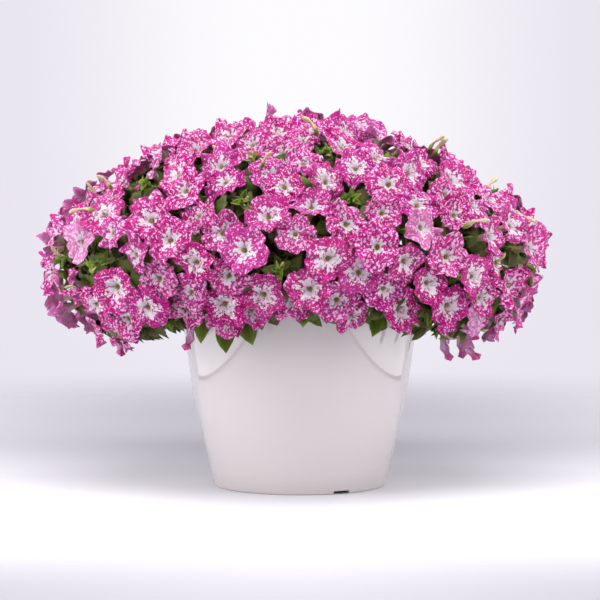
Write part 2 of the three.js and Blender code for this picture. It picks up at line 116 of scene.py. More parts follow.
TUBE_END = 0.0355

# Stems, shoots and leaves
KNOB_HEIGHT = 0.010
STEM = {"radius": 0.0023, "rise": 0.040, "straight": 0.4, "fork": 0.55}
SHOOT = {"radius": 0.0016, "from": 0.72, "depth": 0.013}
LEAF = {"length": 0.037, "width": 0.020, "tilt": 46}
PEDICEL_RADIUS = 0.0011
INNER_LEAF_WIDTH = 0.66  # of its length
HANGING_LEAF_WIDTH = 0.72  # of its length
CRUMB_COUNT = 1400
CRUMB_REACH = 0.98  # of the way from the soil's middle to the wall
DRAIN_CUT_TOP = 0.04  # how high the cutters of the drain holes reach
ANY_TURN = 6.28  # range of a random angle


# The rule that places everything

MASK = 0xFFFFFFFF


def chance(index, channel):
    """The same index and channel always give the same number from 0 to 1."""
    bits = (((index + 1) * 0x9E3779B1) ^ ((channel + 1) * 0x85EBCA6B)) & MASK
    bits = ((bits ^ (bits >> 15)) * 0xC2B2AE35) & MASK
    bits = ((bits ^ (bits >> 13)) * 0x27D4EB2F) & MASK
    return (bits ^ (bits >> 16)) / 2**32


def between(low, high, index, channel):
    return low + (high - low) * chance(index, channel)


def unit(vector):
    return vector / np.linalg.norm(vector)


def smooth_step(low, high, value):
    share = np.clip((value - low) / (high - low), 0.0, 1.0)
    return share * share * (3.0 - 2.0 * share)


def direction(azimuth, elevation):
    return np.array(
        [
            math.cos(elevation) * math.cos(azimuth),
            math.cos(elevation) * math.sin(azimuth),
            math.sin(elevation),
        ]
    )


def frame_around(axis):
    """Two directions square to the axis, which make a right-handed frame with it."""
    level = (1.0, 0.0, 0.0) if abs(axis[2]) > 0.95 else (0.0, 0.0, 1.0)
    right = unit(np.cross(level, axis))
    return right, unit(np.cross(axis, right))


def dome_profile(angle, azimuth):
    """Radius and height of the dome at an angle, which is 90 degrees at its top."""
    power = DOME["upper_power"] if angle > 0 else DOME["lower_power"]
    drop = DOME["drop"] + DOME["drop_at_sides"] * math.cos(2 * azimuth)
    height = DOME["rise"] if angle > 0 else drop
    sine = math.sin(angle)
    lift = math.copysign(abs(sine) ** (2 / power), sine)
    return DOME["reach"] * max(math.cos(angle), 0.0) ** (2 / power), height * lift


def angles_by_area(shares):
    """The dome's angle above which each share of its area lies."""
    mean_azimuth = math.pi / 4
    angles = np.linspace(math.pi / 2, DOME["lowest"], PROFILE_STEPS + 1)
    profile = np.array([dome_profile(angle, mean_azimuth) for angle in angles])
    lengths = np.linalg.norm(np.diff(profile, axis=0), axis=1)
    areas = np.cumsum(lengths * (profile[1:, 0] + profile[:-1, 0]) / 2)
    areas = np.concatenate([[0.0], areas])
    return np.interp(np.array(shares) * areas[-1], areas, angles)


def dome_normal_elevation(angle, azimuth):
    step = 0.01
    above = dome_profile(min(angle + step, math.pi / 2), azimuth)
    below = dome_profile(angle - step, azimuth)
    return math.atan2(below[0] - above[0], above[1] - below[1])


class Site:
    """The place of one bloom or shoot, measured from the dome's centre."""

    def __init__(self, index, angle):
        even = (index * GOLDEN_ANGLE) % (2 * math.pi)
        azimuth = even - FRONT_DENSITY * math.sin(even) - math.pi / 2
        radius, height = dome_profile(angle, azimuth)
        away = math.hypot(radius, height) + between(-SITE_LIFT, SITE_LIFT, index, 0)
        place = direction(azimuth, math.atan2(height, radius)) * away
        place += [between(-SITE_JITTER, SITE_JITTER, index, k) for k in (1, 2, 3)]
        normal = dome_normal_elevation(angle, azimuth)
        lean = FACING_LIFT if normal > 0 else FACING_DROP
        self.index = index
        self.place = place
        self.cell = unit(place)
        self.facing = direction(
            azimuth + between(-0.32, 0.32, index, 4),
            normal * lean + between(-0.2, 0.2, index, 5),
        )
        size = between(0.92, 1.12, index, 6) * (1 + BACK_SIZE * math.sin(azimuth))
        self.radius = BLOOM_RADIUS * size
        self.spin = between(0, 2 * math.pi, index, 7)


def turn_from_back(site):
    return (math.atan2(site.place[1], site.place[0]) - math.pi / 2) % (2 * math.pi)


class Bunch:
    """Sites that share one stem: one of them carries a shoot, the others blooms."""

    def __init__(self, members, ring, index):
        mean = np.mean([site.place for site in members], axis=0)
        self.ring = ring
        self.axis = unit(mean)
        self.root = mean - self.axis * RINGS[ring]["root"]
        hangs = ring == len(RINGS) - 1 and index % 2 == 0

        def reach(site):
            return -site.place[2] if hangs else np.linalg.norm(site.place - mean)

        self.shoot = max(members, key=reach)
        self.blooms = [site for site in members if site is not self.shoot]
        for site in self.blooms:
            back = unit(site.place - self.root)
            site.facing = unit(site.facing + FACING_TUBE * back)
        self.end = self.root - self.axis * (KNOB_HEIGHT / 2 + FIT)
        self.azimuth = math.atan2(self.axis[1], self.axis[0])
        self.young = young_bloom(self.shoot)

    def open_blooms(self):
        return self.blooms + self.young


def young_bloom(shoot):
    """A smaller bloom, on some shoots, that fills the gap between the frame's blooms."""
    if chance(shoot.index, 140) > YOUNG_SHARE:
        return []
    young = copy.copy(shoot)
    young.index = shoot.index + 1000
    young.place = shoot.place - shoot.cell * between(0.002, 0.010, shoot.index, 141)
    young.radius = BLOOM_RADIUS * between(0.80, 0.96, shoot.index, 142)
    return [young]


def make_sites():
    count = sum(ring["sites"] for ring in RINGS)
    angles = angles_by_area([(i + 0.5) / count for i in range(count)])
    return [Site(i, angle) for i, angle in enumerate(angles)]


def make_bunches(sites):
    bunches = []
    first = 0
    for number, ring in enumerate(RINGS):
        members = sorted(sites[first : first + ring["sites"]], key=turn_from_back)
        for group in range(ring["bunches"]):
            start = group * ring["sites"] // ring["bunches"]
            stop = (group + 1) * ring["sites"] // ring["bunches"]
            bunches.append(Bunch(members[start:stop], number, len(bunches)))
        first += ring["sites"]
    return bunches


def plant_at(azimuth):
    """The plant whose crown is nearest in azimuth."""

    def gap(name):
        turn = azimuth - math.radians(PLANTS[name])
        return abs(math.atan2(math.sin(turn), math.cos(turn)))

    return min(PLANTS, key=gap)


def crown_place(name):
    azimuth = math.radians(PLANTS[name])
    return np.array([math.cos(azimuth), math.sin(azimuth), 0.0]) * CROWN["ring"]


def bezier(points, shares):
    """Points of a cubic curve, one row for each share of its way."""
    t = np.atleast_1d(shares)[:, None]
    a, b, c, d = points
    return a * (1 - t) ** 3 + 3 * b * t * (1 - t) ** 2 + 3 * c * t**2 * (1 - t) + d * t**3


def stem_path(bunch, name, grown):
    """A stem rises from the crown, or forks from the stem of the bunch above it."""
    parents = [other for other in grown if bunch.ring > 1 and other.ring == bunch.ring - 1]
    if parents:
        parent = min(parents, key=lambda other: np.linalg.norm(other.root - bunch.root))
        start = bezier(parent.path, STEM["fork"])[0]
        first = start + (bunch.end - start) * 0.3 + [0, 0, STEM["rise"] / 4]
    else:
        start = crown_place(name) + [0, 0, CROWN["top"]] - DOME_CENTRE
        first = start + [0, 0, STEM["rise"]]
    straight = np.linalg.norm(bunch.end - start) * STEM["straight"]
    return np.array([start, first, bunch.end - bunch.axis * straight, bunch.end])


class Petunia:
    """All sites and bunches, and the bunches of each plant in the frame's order."""

    def __init__(self):
        self.sites = make_sites()
        self.bunches = make_bunches(self.sites)
        self.own = {name: [] for name in PLANTS}
        for bunch in self.bunches:
            name = plant_at(bunch.azimuth)
            bunch.path = stem_path(bunch, name, self.own[name])
            self.own[name].append(bunch)
        self.blooms = [site for bunch in self.bunches for site in bunch.blooms]


PETUNIA = Petunia()
LIMB_CENTRES = np.array([site.place for site in PETUNIA.blooms])
LIMB_FACINGS = np.array([site.facing for site in PETUNIA.blooms])
LIMB_RADII = np.array([site.radius for site in PETUNIA.blooms])


def crosses_bloom(start, end):
    """True where the straight way between two points runs through an open limb."""
    before = np.sum((start - LIMB_CENTRES) * LIMB_FACINGS, axis=1)
    after = np.sum((end - LIMB_CENTRES) * LIMB_FACINGS, axis=1)
    through = before * after < 0
    way = np.where(through, before / np.where(through, before - after, 1.0), 0.0)
    hits = start + way[:, None] * (end - start)
    apart = np.linalg.norm(hits - LIMB_CENTRES, axis=1)
    return bool(np.any(through & (apart < LIMB_RADII * 0.9)))


# Meshes

def new_mesh_object(name, points, faces, smooth=True):
    mesh = bpy.data.meshes.new(name)
    mesh.from_pydata(np.asarray(points).tolist(), [], faces)
    mesh.validate()
    if smooth:
        mesh.shade_smooth()
    obj = bpy.data.objects.new(name, mesh)
    bpy.context.scene.collection.objects.link(obj)
    return obj


def store_vectors(mesh, name, values):
    attribute = mesh.attributes.new(name, "FLOAT_VECTOR", "POINT")
    attribute.data.foreach_set("vector", np.asarray(values, dtype=float).ravel())


def skin(rows):
    """Faces between rings of vertex numbers, from the first ring to the last.

    A ring may be a single vertex, or have a whole number of times fewer vertices than
    the ring before it.
    """
    faces = []
    for near, far in zip(rows, rows[1:]):
        if len(near) == 1:
            faces += [(near[0], far[i], far[(i + 1) % len(far)]) for i in range(len(far))]
        elif len(far) == 1:
            faces += [(near[i], far[0], near[(i + 1) % len(near)]) for i in range(len(near))]
        elif len(near) == len(far):
            for i in range(len(near)):
                after = (i + 1) % len(near)
                faces.append((near[i], far[i], far[after], near[after]))
        else:
            times = len(near) // len(far)
            for i in range(len(near)):
                after = (i + 1) % len(near)
                faces.append((near[i], far[i // times], near[after]))
                if (i + 1) % times == 0:
                    after_far = (i // times + 1) % len(far)
                    faces.append((near[after], far[i // times], far[after_far]))
    return faces


def ring_numbers(counts):
    """Vertex numbers of successive rings with these counts."""
    starts = np.concatenate([[0], np.cumsum(counts)])
    return [list(range(a, b)) for a, b in zip(starts, starts[1:])]


def lathe(profile, sides):
    """A closed solid of revolution. The profile's ends lie on the axis."""
    turns = np.arange(sides) * 2 * math.pi / sides
    points = []
    for radius, height in profile:
        if radius == 0:
            points.append([0.0, 0.0, height])
        else:
            points += [[radius * math.cos(a), radius * math.sin(a), height] for a in turns]
    counts = [1 if radius == 0 else sides for radius, _ in profile]
    return np.array(points), skin(ring_numbers(counts))


def keep_plain_mesh(obj):
    """Swaps the object for a plain mesh of what its modifiers make."""
    depsgraph = bpy.context.evaluated_depsgraph_get()
    made = obj.evaluated_get(depsgraph)
    mesh = bpy.data.meshes.new_from_object(
        made, preserve_all_data_layers=True, depsgraph=depsgraph
    )
    name = obj.name
    bpy.data.objects.remove(obj)
    plain = bpy.data.objects.new(name, mesh)
    mesh.name = name
    bpy.context.scene.collection.objects.link(plain)
    return plain


def place_piece(obj, slot, *nodes):
    """Attaches a finished piece to the root body and hides the nodes that it stands for. Its slot,
    the finish, is not used.
    """
    if not len(obj.data.polygons):
        raise RuntimeError(f"{obj.name} has no faces")
    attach(obj, "root")
    if nodes:
        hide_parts(*nodes)


# Geometry Nodes

class NodeTree:
    """A geometry node tree in the making, with named inputs."""

    def __init__(self, name, inputs):
        self.tree = bpy.data.node_groups.new(name, "GeometryNodeTree")
        self.tree.is_modifier = True
        self.sockets = {}
        face = self.tree.interface
        face.new_socket("Geometry", in_out="OUTPUT", socket_type="NodeSocketGeometry")
        for label, kind in [("Geometry", "NodeSocketGeometry"), *inputs]:
            socket = face.new_socket(label, in_out="INPUT", socket_type=kind)
            self.sockets[label] = socket.identifier
        self.start = self.tree.nodes.new("NodeGroupInput")

    def given(self, label):
        return self.start.outputs[label]

    def node(self, kind, settings=None, inputs=None):
        node = self.tree.nodes.new(kind)
        for key, value in (settings or {}).items():
            setattr(node, key, value)
        for key, value in (inputs or {}).items():
            if isinstance(value, bpy.types.NodeSocket):
                self.tree.links.new(value, node.inputs[key])
            else:
                node.inputs[key].default_value = value
        return node

    def attribute(self, name, kind="FLOAT_VECTOR"):
        node = self.node("GeometryNodeInputNamedAttribute", {"data_type": kind}, {"Name": name})
        return node.outputs["Attribute"]

    def finish(self, geometry, material):
        """Ends the tree in real faces with their material."""
        real = self.node("GeometryNodeRealizeInstances", inputs={"Geometry": geometry})
        painted = self.node(
            "GeometryNodeSetMaterial",
            inputs={"Geometry": real.outputs[0], "Material": material},
        )
        end = self.tree.nodes.new("NodeGroupOutput")
        self.tree.links.new(painted.outputs[0], end.inputs[0])

    def apply_to(self, obj, values):
        """Runs the tree on the object and keeps the result as a plain mesh."""
        modifier = obj.modifiers.new(self.tree.name, "NODES")
        modifier.node_group = self.tree
        for label, value in values.items():
            modifier[self.sockets[label]] = value
        return keep_plain_mesh(obj)


def scatter_tree():
    """Puts shapes from a collection on points, turned and sized by their attributes."""
    group = NodeTree(
        "petunia_scatter",
        [("Shapes", "NodeSocketCollection"), ("Material", "NodeSocketMaterial")],
    )
    shapes = group.node(
        "GeometryNodeCollectionInfo",
        inputs={
            "Collection": group.given("Shapes"),
            "Separate Children": True,
            "Reset Children": True,
        },
    )
    turn = group.node("FunctionNodeEulerToRotation", inputs={"Euler": group.attribute("turn")})
    placed = group.node(
        "GeometryNodeInstanceOnPoints",
        inputs={
            "Points": group.given("Geometry"),
            "Instance": shapes.outputs[0],
            "Pick Instance": True,
            "Instance Index": group.attribute("shape", "INT"),
            "Rotation": turn.outputs[0],
            "Scale": group.attribute("size"),
        },
    )
    group.finish(placed.outputs[0], group.given("Material"))
    return group


def stem_tree():
    """Runs a round section along curves, as thick as their points' radius."""
    group = NodeTree(
        "petunia_stems", [("Sides", "NodeSocketInt"), ("Material", "NodeSocketMaterial")]
    )
    section = group.node(
        "GeometryNodeCurvePrimitiveCircle",
        inputs={"Resolution": group.given("Sides"), "Radius": 1.0},
    )
    thickness = group.node("GeometryNodeInputRadius")
    tube = group.node(
        "GeometryNodeCurveToMesh",
        inputs={
            "Curve": group.given("Geometry"),
            "Profile Curve": section.outputs[0],
            "Scale": thickness.outputs[0],
            "Fill Caps": True,
        },
    )
    smooth = group.node("GeometryNodeSetShadeSmooth", inputs={"Geometry": tube.outputs[0]})
    group.finish(smooth.outputs[0], group.given("Material"))
    return group


def down_tree():
    """Sets short hairs on a surface, each square to it."""
    group = NodeTree(
        "petunia_down",
        [
            ("Density", "NodeSocketFloat"),
            ("Length", "NodeSocketFloat"),
            ("Seed", "NodeSocketInt"),
            ("Material", "NodeSocketMaterial"),
        ],
    )
    spread = group.node(
        "GeometryNodeDistributePointsOnFaces",
        inputs={
            "Mesh": group.given("Geometry"),
            "Density": group.given("Density"),
            "Seed": group.given("Seed"),
        },
    )
    hair = group.node(
        "GeometryNodeMeshCone",
        inputs={
            "Vertices": 3,
            "Radius Top": 0.0,
            "Radius Bottom": 0.00006,
            "Depth": group.given("Length"),
        },
    )
    placed = group.node(
        "GeometryNodeInstanceOnPoints",
        inputs={
            "Points": spread.outputs["Points"],
            "Instance": hair.outputs[0],
            "Rotation": spread.outputs["Rotation"],
        },
    )
    group.finish(placed.outputs[0], group.given("Material"))
    return group


def curves_object(name, paths):
    """A curve object with one spline for each (points, radii)."""
    curve = bpy.data.curves.new(name, "CURVE")
    curve.dimensions = "3D"
    for points, radii in paths:
        spline = curve.splines.new("POLY")
        spline.points.add(len(points) - 1)
        rows = np.column_stack([points, np.ones(len(points))])
        spline.points.foreach_set("co", rows.ravel())
        spline.points.foreach_set("radius", np.broadcast_to(radii, len(points)))
    obj = bpy.data.objects.new(name, curve)
    bpy.context.scene.collection.objects.link(obj)
    return obj


class Scatter:
    """Points that a shape from a collection stands on, each with its own look."""

    def __init__(self):
        self.rows = []

    def add(self, place, along, over, size, shape, look):
        """The shape's X runs along, and its Z lies towards over."""
        x = unit(along)
        y = unit(np.cross(over, x))
        z = np.cross(x, y)
        turn = Matrix((x, y, z)).transposed().to_euler()
        self.rows.append((tuple(place), tuple(turn), size, shape, look))

    def make(self, name, shapes, material, tree):
        obj = new_mesh_object(name, [row[0] for row in self.rows], [])
        store_vectors(obj.data, "turn", [row[1] for row in self.rows])
        store_vectors(obj.data, "size", [row[2] for row in self.rows])
        number = obj.data.attributes.new("shape", "INT", "POINT")
        number.data.foreach_set("value", [row[3] for row in self.rows])
        store_vectors(obj.data, "look", [row[4] for row in self.rows])
        made = tree.apply_to(obj, {"Shapes": shapes, "Material": material})
        for helper in ("turn", "size", "shape"):
            if helper in made.data.attributes:
                made.data.attributes.remove(made.data.attributes[helper])
        made.data.shade_smooth()
        return made


def shape_collection(name, shapes):
    """A collection of small meshes, given as (points, faces, places)."""
    collection = bpy.data.collections.new(name)
    for number, (points, faces, places) in enumerate(shapes):
        mesh = bpy.data.meshes.new(f"{name}_{number}")
        mesh.from_pydata(np.asarray(points).tolist(), [], faces)
        store_vectors(mesh, "place", places)
        mesh.shade_smooth()
        collection.objects.link(bpy.data.objects.new(f"{name}_{number}", mesh))
    return collection


# Materials

class Number:
    """A number at a shader socket, on which plain arithmetic adds Math nodes."""

    def __init__(self, shader, socket):
        self.shader = shader
        self.socket = socket

    def _math(self, operation, *values):
        inputs = dict(enumerate(values))
        node = self.shader.node("ShaderNodeMath", {"operation": operation}, inputs)
        return Number(self.shader, node.outputs[0])

    def __add__(self, other):
        return self._math("ADD", self, other)

    def __sub__(self, other):
        return self._math("SUBTRACT", self, other)

    def __mul__(self, other):
        return self._math("MULTIPLY", self, other)

    def __truediv__(self, other):
        return self._math("DIVIDE", self, other)

    def __pow__(self, other):
        return self._math("POWER", self, other)

    def __rsub__(self, other):
        return self._math("SUBTRACT", other, self)

    def __rtruediv__(self, other):
        return self._math("DIVIDE", other, self)

    def __abs__(self):
        return self._math("ABSOLUTE", self)

    __radd__ = __add__
    __rmul__ = __mul__

    def fraction(self):
        return self._math("FRACT", self)

    def least(self, other):
        return self._math("MINIMUM", self, other)

    def most(self, other):
        return self._math("MAXIMUM", self, other)


class Shader:
    """A material in the making: one surface shader and the nodes that feed it."""

    def __init__(self, name, **constants):
        self.material = bpy.data.materials.new(name)
        self.material.use_nodes = True
        self.tree = self.material.node_tree
        self.tree.nodes.clear()
        settings = {key.replace("_", " "): value for key, value in constants.items()}
        self.surface = self.node("ShaderNodeBsdfPrincipled", inputs=settings)
        self.node("ShaderNodeOutputMaterial", inputs={"Surface": self.surface.outputs[0]})

    def node(self, kind, settings=None, inputs=None):
        node = self.tree.nodes.new(kind)
        for key, value in (settings or {}).items():
            setattr(node, key, value)
        for key, value in (inputs or {}).items():
            source = value.socket if isinstance(value, Number) else value
            if isinstance(source, bpy.types.NodeSocket):
                self.tree.links.new(source, node.inputs[key])
            else:
                node.inputs[key].default_value = source
        return node

    def attribute(self, name):
        node = self.node("ShaderNodeAttribute", {"attribute_name": name})
        return node.outputs["Vector"]

    def object_place(self):
        return self.node("ShaderNodeTexCoord").outputs["Object"]

    def split(self, vector):
        node = self.node("ShaderNodeSeparateXYZ", inputs={0: vector})
        return [Number(self, socket) for socket in node.outputs]

    def join(self, x, y, z):
        return self.node("ShaderNodeCombineXYZ", inputs={0: x, 1: y, 2: z}).outputs[0]

    def cells(self, vector, scale):
        """Distance to the nearest of many scattered points."""
        inputs = {"Vector": vector, "Scale": scale}
        node = self.node("ShaderNodeTexVoronoi", {"voronoi_dimensions": "2D"}, inputs)
        return Number(self, node.outputs["Distance"])

    def noise(self, vector, scale, detail=2.0, roughness=0.5):
        inputs = {"Vector": vector, "Scale": scale, "Detail": detail, "Roughness": roughness}
        return Number(self, self.node("ShaderNodeTexNoise", inputs=inputs).outputs["Fac"])

    def rise(self, value, low, high):
        """0 below low, 1 above high, and smooth between them."""
        node = self.node(
            "ShaderNodeMapRange",
            {"interpolation_type": "SMOOTHSTEP"},
            {"Value": value, "From Min": low, "From Max": high},
        )
        return Number(self, node.outputs[0])

    def blend(self, share, first, second):
        """The first colour where the share is 0, the second where it is 1."""
        inputs = {0: share, 6: first, 7: second}
        return self.node("ShaderNodeMix", {"data_type": "RGBA"}, inputs).outputs[2]

    def paint(self, colour, roughness=None):
        self.tree.links.new(colour, self.surface.inputs["Base Color"])
        if roughness is not None:
            self.tree.links.new(roughness.socket, self.surface.inputs["Roughness"])

    def relief(self, height, distance, strength=1.0):
        inputs = {"Height": height, "Distance": distance, "Strength": strength}
        bump = self.node("ShaderNodeBump", inputs=inputs)
        self.tree.links.new(bump.outputs[0], self.surface.inputs["Normal"])


def rgba(colour):
    return (*tuple(colour)[:3], 1.0)


def petal_material(settings):
    """Pale flecks that join into a star around the throat, pale back and cream tube, with painted
    shade in the creases.
    """
    shader = Shader(
        "speckled_petals",
        Roughness=0.55,
        Subsurface_Weight=0.35,
        Subsurface_Radius=(1.0, 0.35, 0.7),
        Subsurface_Scale=0.0012,
        Specular_IOR_Level=0.12,
    )
    across, along, reach = shader.split(shader.attribute("petal_place"))
    seed, back, tone = shader.split(shader.attribute("petal_look"))
    length = (across * across + along * along + 0.0001) ** 0.5
    cosine = across / length
    square = cosine * cosine
    five = cosine * (square * (square * 16 - 20) + 5)
    x = across * reach
    y = along * reach
    limb_place = shader.join(x * 6.6 + seed * 60, y * 6.6 + seed * 35, seed * 50)
    ray_place = shader.join(across * 7 + seed * 30, along * 7, reach * 1.6 + seed * 70)
    wobble = shader.noise(limb_place, 1.7, 2.0)
    cross_wobble = shader.noise(limb_place, 1.1, 2.0)
    streak = shader.noise(ray_place, 1.0, 3.0, 0.6)
    cloud = shader.noise(limb_place, 0.30, 2.0)
    bent = shader.join(
        x * 6.6 + seed * 60 + wobble * 1.6, y * 6.6 + seed * 35 + cross_wobble * 1.6, seed * 50
    )
    spots = shader.cells(bent, 1.0)
    dots = shader.cells(bent, 1.9)
    crease = abs(shader.noise(shader.join(across * 16, along * 16, seed * 90), 1.0, 2.0) - 0.5)
    draw = (seed * 7.3).fraction() - 0.5
    inner = 1 - shader.rise(reach - five * 0.07 + draw * 0.34, 0.11, 0.62)
    size = inner * 0.42 + (cloud - 0.5) * 0.45 + draw * 0.16 + 0.255
    size = size + (streak - 0.5) * inner * 1.2
    small = shader.rise(size * 0.62 - dots, -0.02, 0.06) * 0.7
    pale = shader.rise(size - spots, -0.03, 0.05).most(small)
    deep = shader.rise(cross_wobble, 0.38, 0.60)
    limb = shader.blend(deep, rgba(settings.limb), rgba(settings.shade))
    limb = shader.blend(shader.rise(seed, 0.45, 0.9) * 0.55, limb, rgba(settings.violet))
    white = shader.rise(inner + (size - spots) * 0.9, 0.10, 0.65)
    fleck = shader.blend(white, rgba(settings.fleck), rgba(settings.star))
    colour = shader.blend(pale * settings.fleck_amount, limb, fleck)
    faded = shader.blend(pale, rgba(settings.back), rgba(settings.faded))
    colour = shader.blend(tone * 0.8, colour, faded)
    veins = shader.rise(streak, 0.50, 0.66) * (1 - shader.rise(reach, 0.25, 0.62))
    colour = shader.blend(veins * 0.25, colour, rgba(settings.vein))
    # Painted shade: the creases are darkened up to a fifth of the way towards the deep limb
    # colour.
    crease_unshaded_share = shader.rise(crease, 0.0, 0.035) * 0.2 + 0.8
    colour = shader.blend(crease_unshaded_share, rgba(settings.shade), colour)
    colour = shader.blend(shader.rise(reach, 0.06, 0.17), rgba(settings.throat), colour)
    outside = shader.blend(0.70, colour, rgba(settings.back))
    outside = shader.blend(shader.rise(reach, 0.12, 0.32), rgba(settings.tube), outside)
    colour = shader.blend(back, colour, outside)
    shader.paint(colour)
    groove = shader.rise(crease, 0.0, 0.12)
    around = shader.join(cosine * 2.2, along / length * 2.2, seed * 90)
    fold = shader.noise(around, 1.6, 2.0) * reach * 2.8
    shader.relief(groove * 0.4 + streak * 0.5 + wobble * 0.5 + fold, 0.0026, 0.95)
    return shader.material


def leaf_material(settings):
    """Curved side veins on a satin blade, young and bright or old and dark, with painted shade on
    the leaves that lie deep in the dome.
    """
    shader = Shader(
        "veined_leaf",
        Roughness=0.45,
        Subsurface_Weight=0.08,
        Subsurface_Radius=(0.4, 1.0, 0.2),
        Subsurface_Scale=0.0015,
        Specular_IOR_Level=0.25,
    )
    along, across, under = shader.split(shader.attribute("place"))
    _, age, shade = shader.split(shader.attribute("look"))
    width = abs(across)
    veins = ((along - width * 0.16) * 6.5).fraction()
    side_vein = shader.rise(abs(veins - 0.5), 0.42, 0.5) * shader.rise(1 - width, 0.0, 0.4)
    midrib = 1 - shader.rise(width, 0.03, 0.12)
    mottle = shader.noise(shader.object_place(), 90.0, 3.0)
    colour = shader.blend(age, rgba(settings.young), rgba(settings.old))
    colour = shader.blend(shader.rise(mottle, 0.3, 0.7) * 0.4, colour, rgba(settings.deep))
    ribs = (side_vein * 0.45 + midrib).least(1.0)
    colour = shader.blend(ribs * 0.45, colour, rgba(settings.vein))
    colour = shader.blend(under * 0.4, colour, rgba(settings.vein))
    # Painted shade: the look's third value darkens leaves deep in the dome, and the collars below
    # the tufts, towards the inner leaf colour.
    colour = shader.blend(shade, colour, rgba(settings.deep))
    shader.paint(colour, 0.38 + mottle * 0.2)
    shader.relief(mottle * 0.25 - ribs, 0.0008, 0.6)
    return shader.material


def stem_material(settings):
    shader = Shader("downy_stem", Roughness=0.55, Sheen_Weight=0.4, Subsurface_Weight=0.05)
    place = shader.object_place()
    mottle = shader.noise(place, 120.0, 3.0)
    fine = shader.noise(place, 900.0, 2.0)
    colour = shader.blend(shader.rise(mottle, 0.3, 0.7), rgba(settings.young), rgba(settings.old))
    shader.paint(colour, 0.45 + fine * 0.2)
    shader.relief(fine, 0.0003, 0.5)
    return shader.material


def hair_material(settings):
    shader = Shader("plant_down", Roughness=0.4, Sheen_Weight=0.3)
    fine = shader.noise(shader.object_place(), 300.0, 2.0)
    shader.paint(shader.blend(fine, rgba(settings.down), rgba(settings.vein)))
    return shader.material


def pot_material(settings):
    """Lacquered shell: a clear coat over white with the faintest orange peel."""
    shader = Shader(
        "white_lacquer",
        Coat_Weight=1.0,
        Coat_Roughness=0.01,
        Specular_IOR_Level=0.5,
    )
    place = shader.object_place()
    cloud = shader.noise(place, 14.0, 3.0)
    peel = shader.noise(place, 260.0, 2.0)
    _, _, height = shader.split(place)
    # Darker towards the foot, over its lowest 3 cm, in soft clouds.
    foot_darkening = (1 - shader.rise(height, 0.0, 0.03)) * (cloud * 0.5 + 0.3)
    colour = shader.blend(cloud * 0.25, rgba(settings.shell), rgba(settings.shell_tint))
    colour = shader.blend(foot_darkening * 0.35, colour, rgba(settings.foot_darkening))
    shader.paint(colour, 0.06 + cloud * 0.04)
    shader.relief(peel, 0.0001, 0.06)
    return shader.material


def soil_material(settings):
    shader = Shader("potting_soil", Specular_IOR_Level=0.2)
    place = shader.object_place()
    lumps = shader.noise(place, 160.0, 4.0, 0.65)
    fibres = shader.noise(place, 700.0, 3.0)
    colour = shader.blend(shader.rise(lumps, 0.35, 0.65), rgba(settings.damp), rgba(settings.dry))
    shader.paint(colour, 0.8 + fibres * 0.2)
    shader.relief(lumps + fibres * 0.4, 0.003, 0.8)
    return shader.material


def stage_material(settings):
    """Matte paper with painted shade, darker in a band behind the pot and towards the front, that
    fades out into the studio's air.
    """
    shader = Shader("matte_paper", Specular_IOR_Level=0.1)
    place = shader.object_place()
    across, away, _ = shader.split(place)
    grain = shader.noise(place, 300.0, 2.0)
    painted_shadow_band = shader.rise(away, -0.24, 0.50)
    middle = 1 - shader.rise(abs(across), 0.1, 0.9)
    front = shader.rise(0 - away, 0.25, 0.80) * (0.85 + shader.rise(abs(across), 0.0, 0.35) * 0.12)
    # Painted shade: the floor is darkened in a band behind the pot, most in the middle, and
    # towards the front and its corners.
    shadow = (painted_shadow_band * (0.44 + middle * 0.38) + front * 0.8).least(1.0)
    colour = shader.blend(shadow, rgba(settings.paper), rgba(settings.paper_shade))
    shader.paint(colour, 0.85 + grain * 0.1)
    shader.relief(grain, 0.0001, 0.2)
    out = (across * across + away * away) ** 0.5
    solid = 1 - shader.rise(out, 0.80, FLOOR_RADIUS)
    shader.tree.links.new(solid.socket, shader.surface.inputs["Alpha"])
    return shader.material


class Air(Shader):
    """The nodes of a world."""

    def __init__(self, name):
        self.world = bpy.data.worlds.new(name)
        self.world.use_nodes = True
        self.tree = self.world.node_tree
        self.tree.nodes.clear()


def studio_air(settings):
    """Pale air all round, which is seen and mirrored brighter than it lights the plant, with a
    painted pool of light right behind the plant.
    """
    air = Air("studio_air")
    ahead = air.node("ShaderNodeTexCoord").outputs["Generated"]
    x, y, z = air.split(ahead)
    # Painted light: a brighter pool in the air that is seen right behind the plant, above the
    # floor.
    centre = (1 - air.rise(abs(x), 0.02, 0.15)) * air.rise(y, 0.0, 0.5) * air.rise(z, -0.12, 0.05)
    seen = air.blend(centre, rgba(settings.air), rgba(settings.air_painted_light_pool))
    shown = air.node("ShaderNodeBackground", inputs={"Color": seen, "Strength": 1.0})
    glow = air.node(
        "ShaderNodeBackground", inputs={"Color": (0.95, 0.94, 1.0, 1.0), "Strength": settings.glow}
    )
    rays = air.node("ShaderNodeLightPath").outputs
    straight = Number(air, rays["Is Camera Ray"]).most(Number(air, rays["Is Glossy Ray"]))
    both = air.node(
        "ShaderNodeMixShader", inputs={0: straight, 1: glow.outputs[0], 2: shown.outputs[0]}
    )
    air.node("ShaderNodeOutputWorld", inputs={"Surface": both.outputs[0]})
    return air.world


# Settings that a user would change

def colour_setting(label, text, default):
    return bpy.props.FloatVectorProperty(
        name=label, description=text, subtype="COLOR", size=3, min=0.0, max=1.0, default=default
    )


def length_setting(label, text, default):
    return bpy.props.FloatProperty(
        name=label, description=text, subtype="DISTANCE", unit="LENGTH", min=0.0, default=default
    )


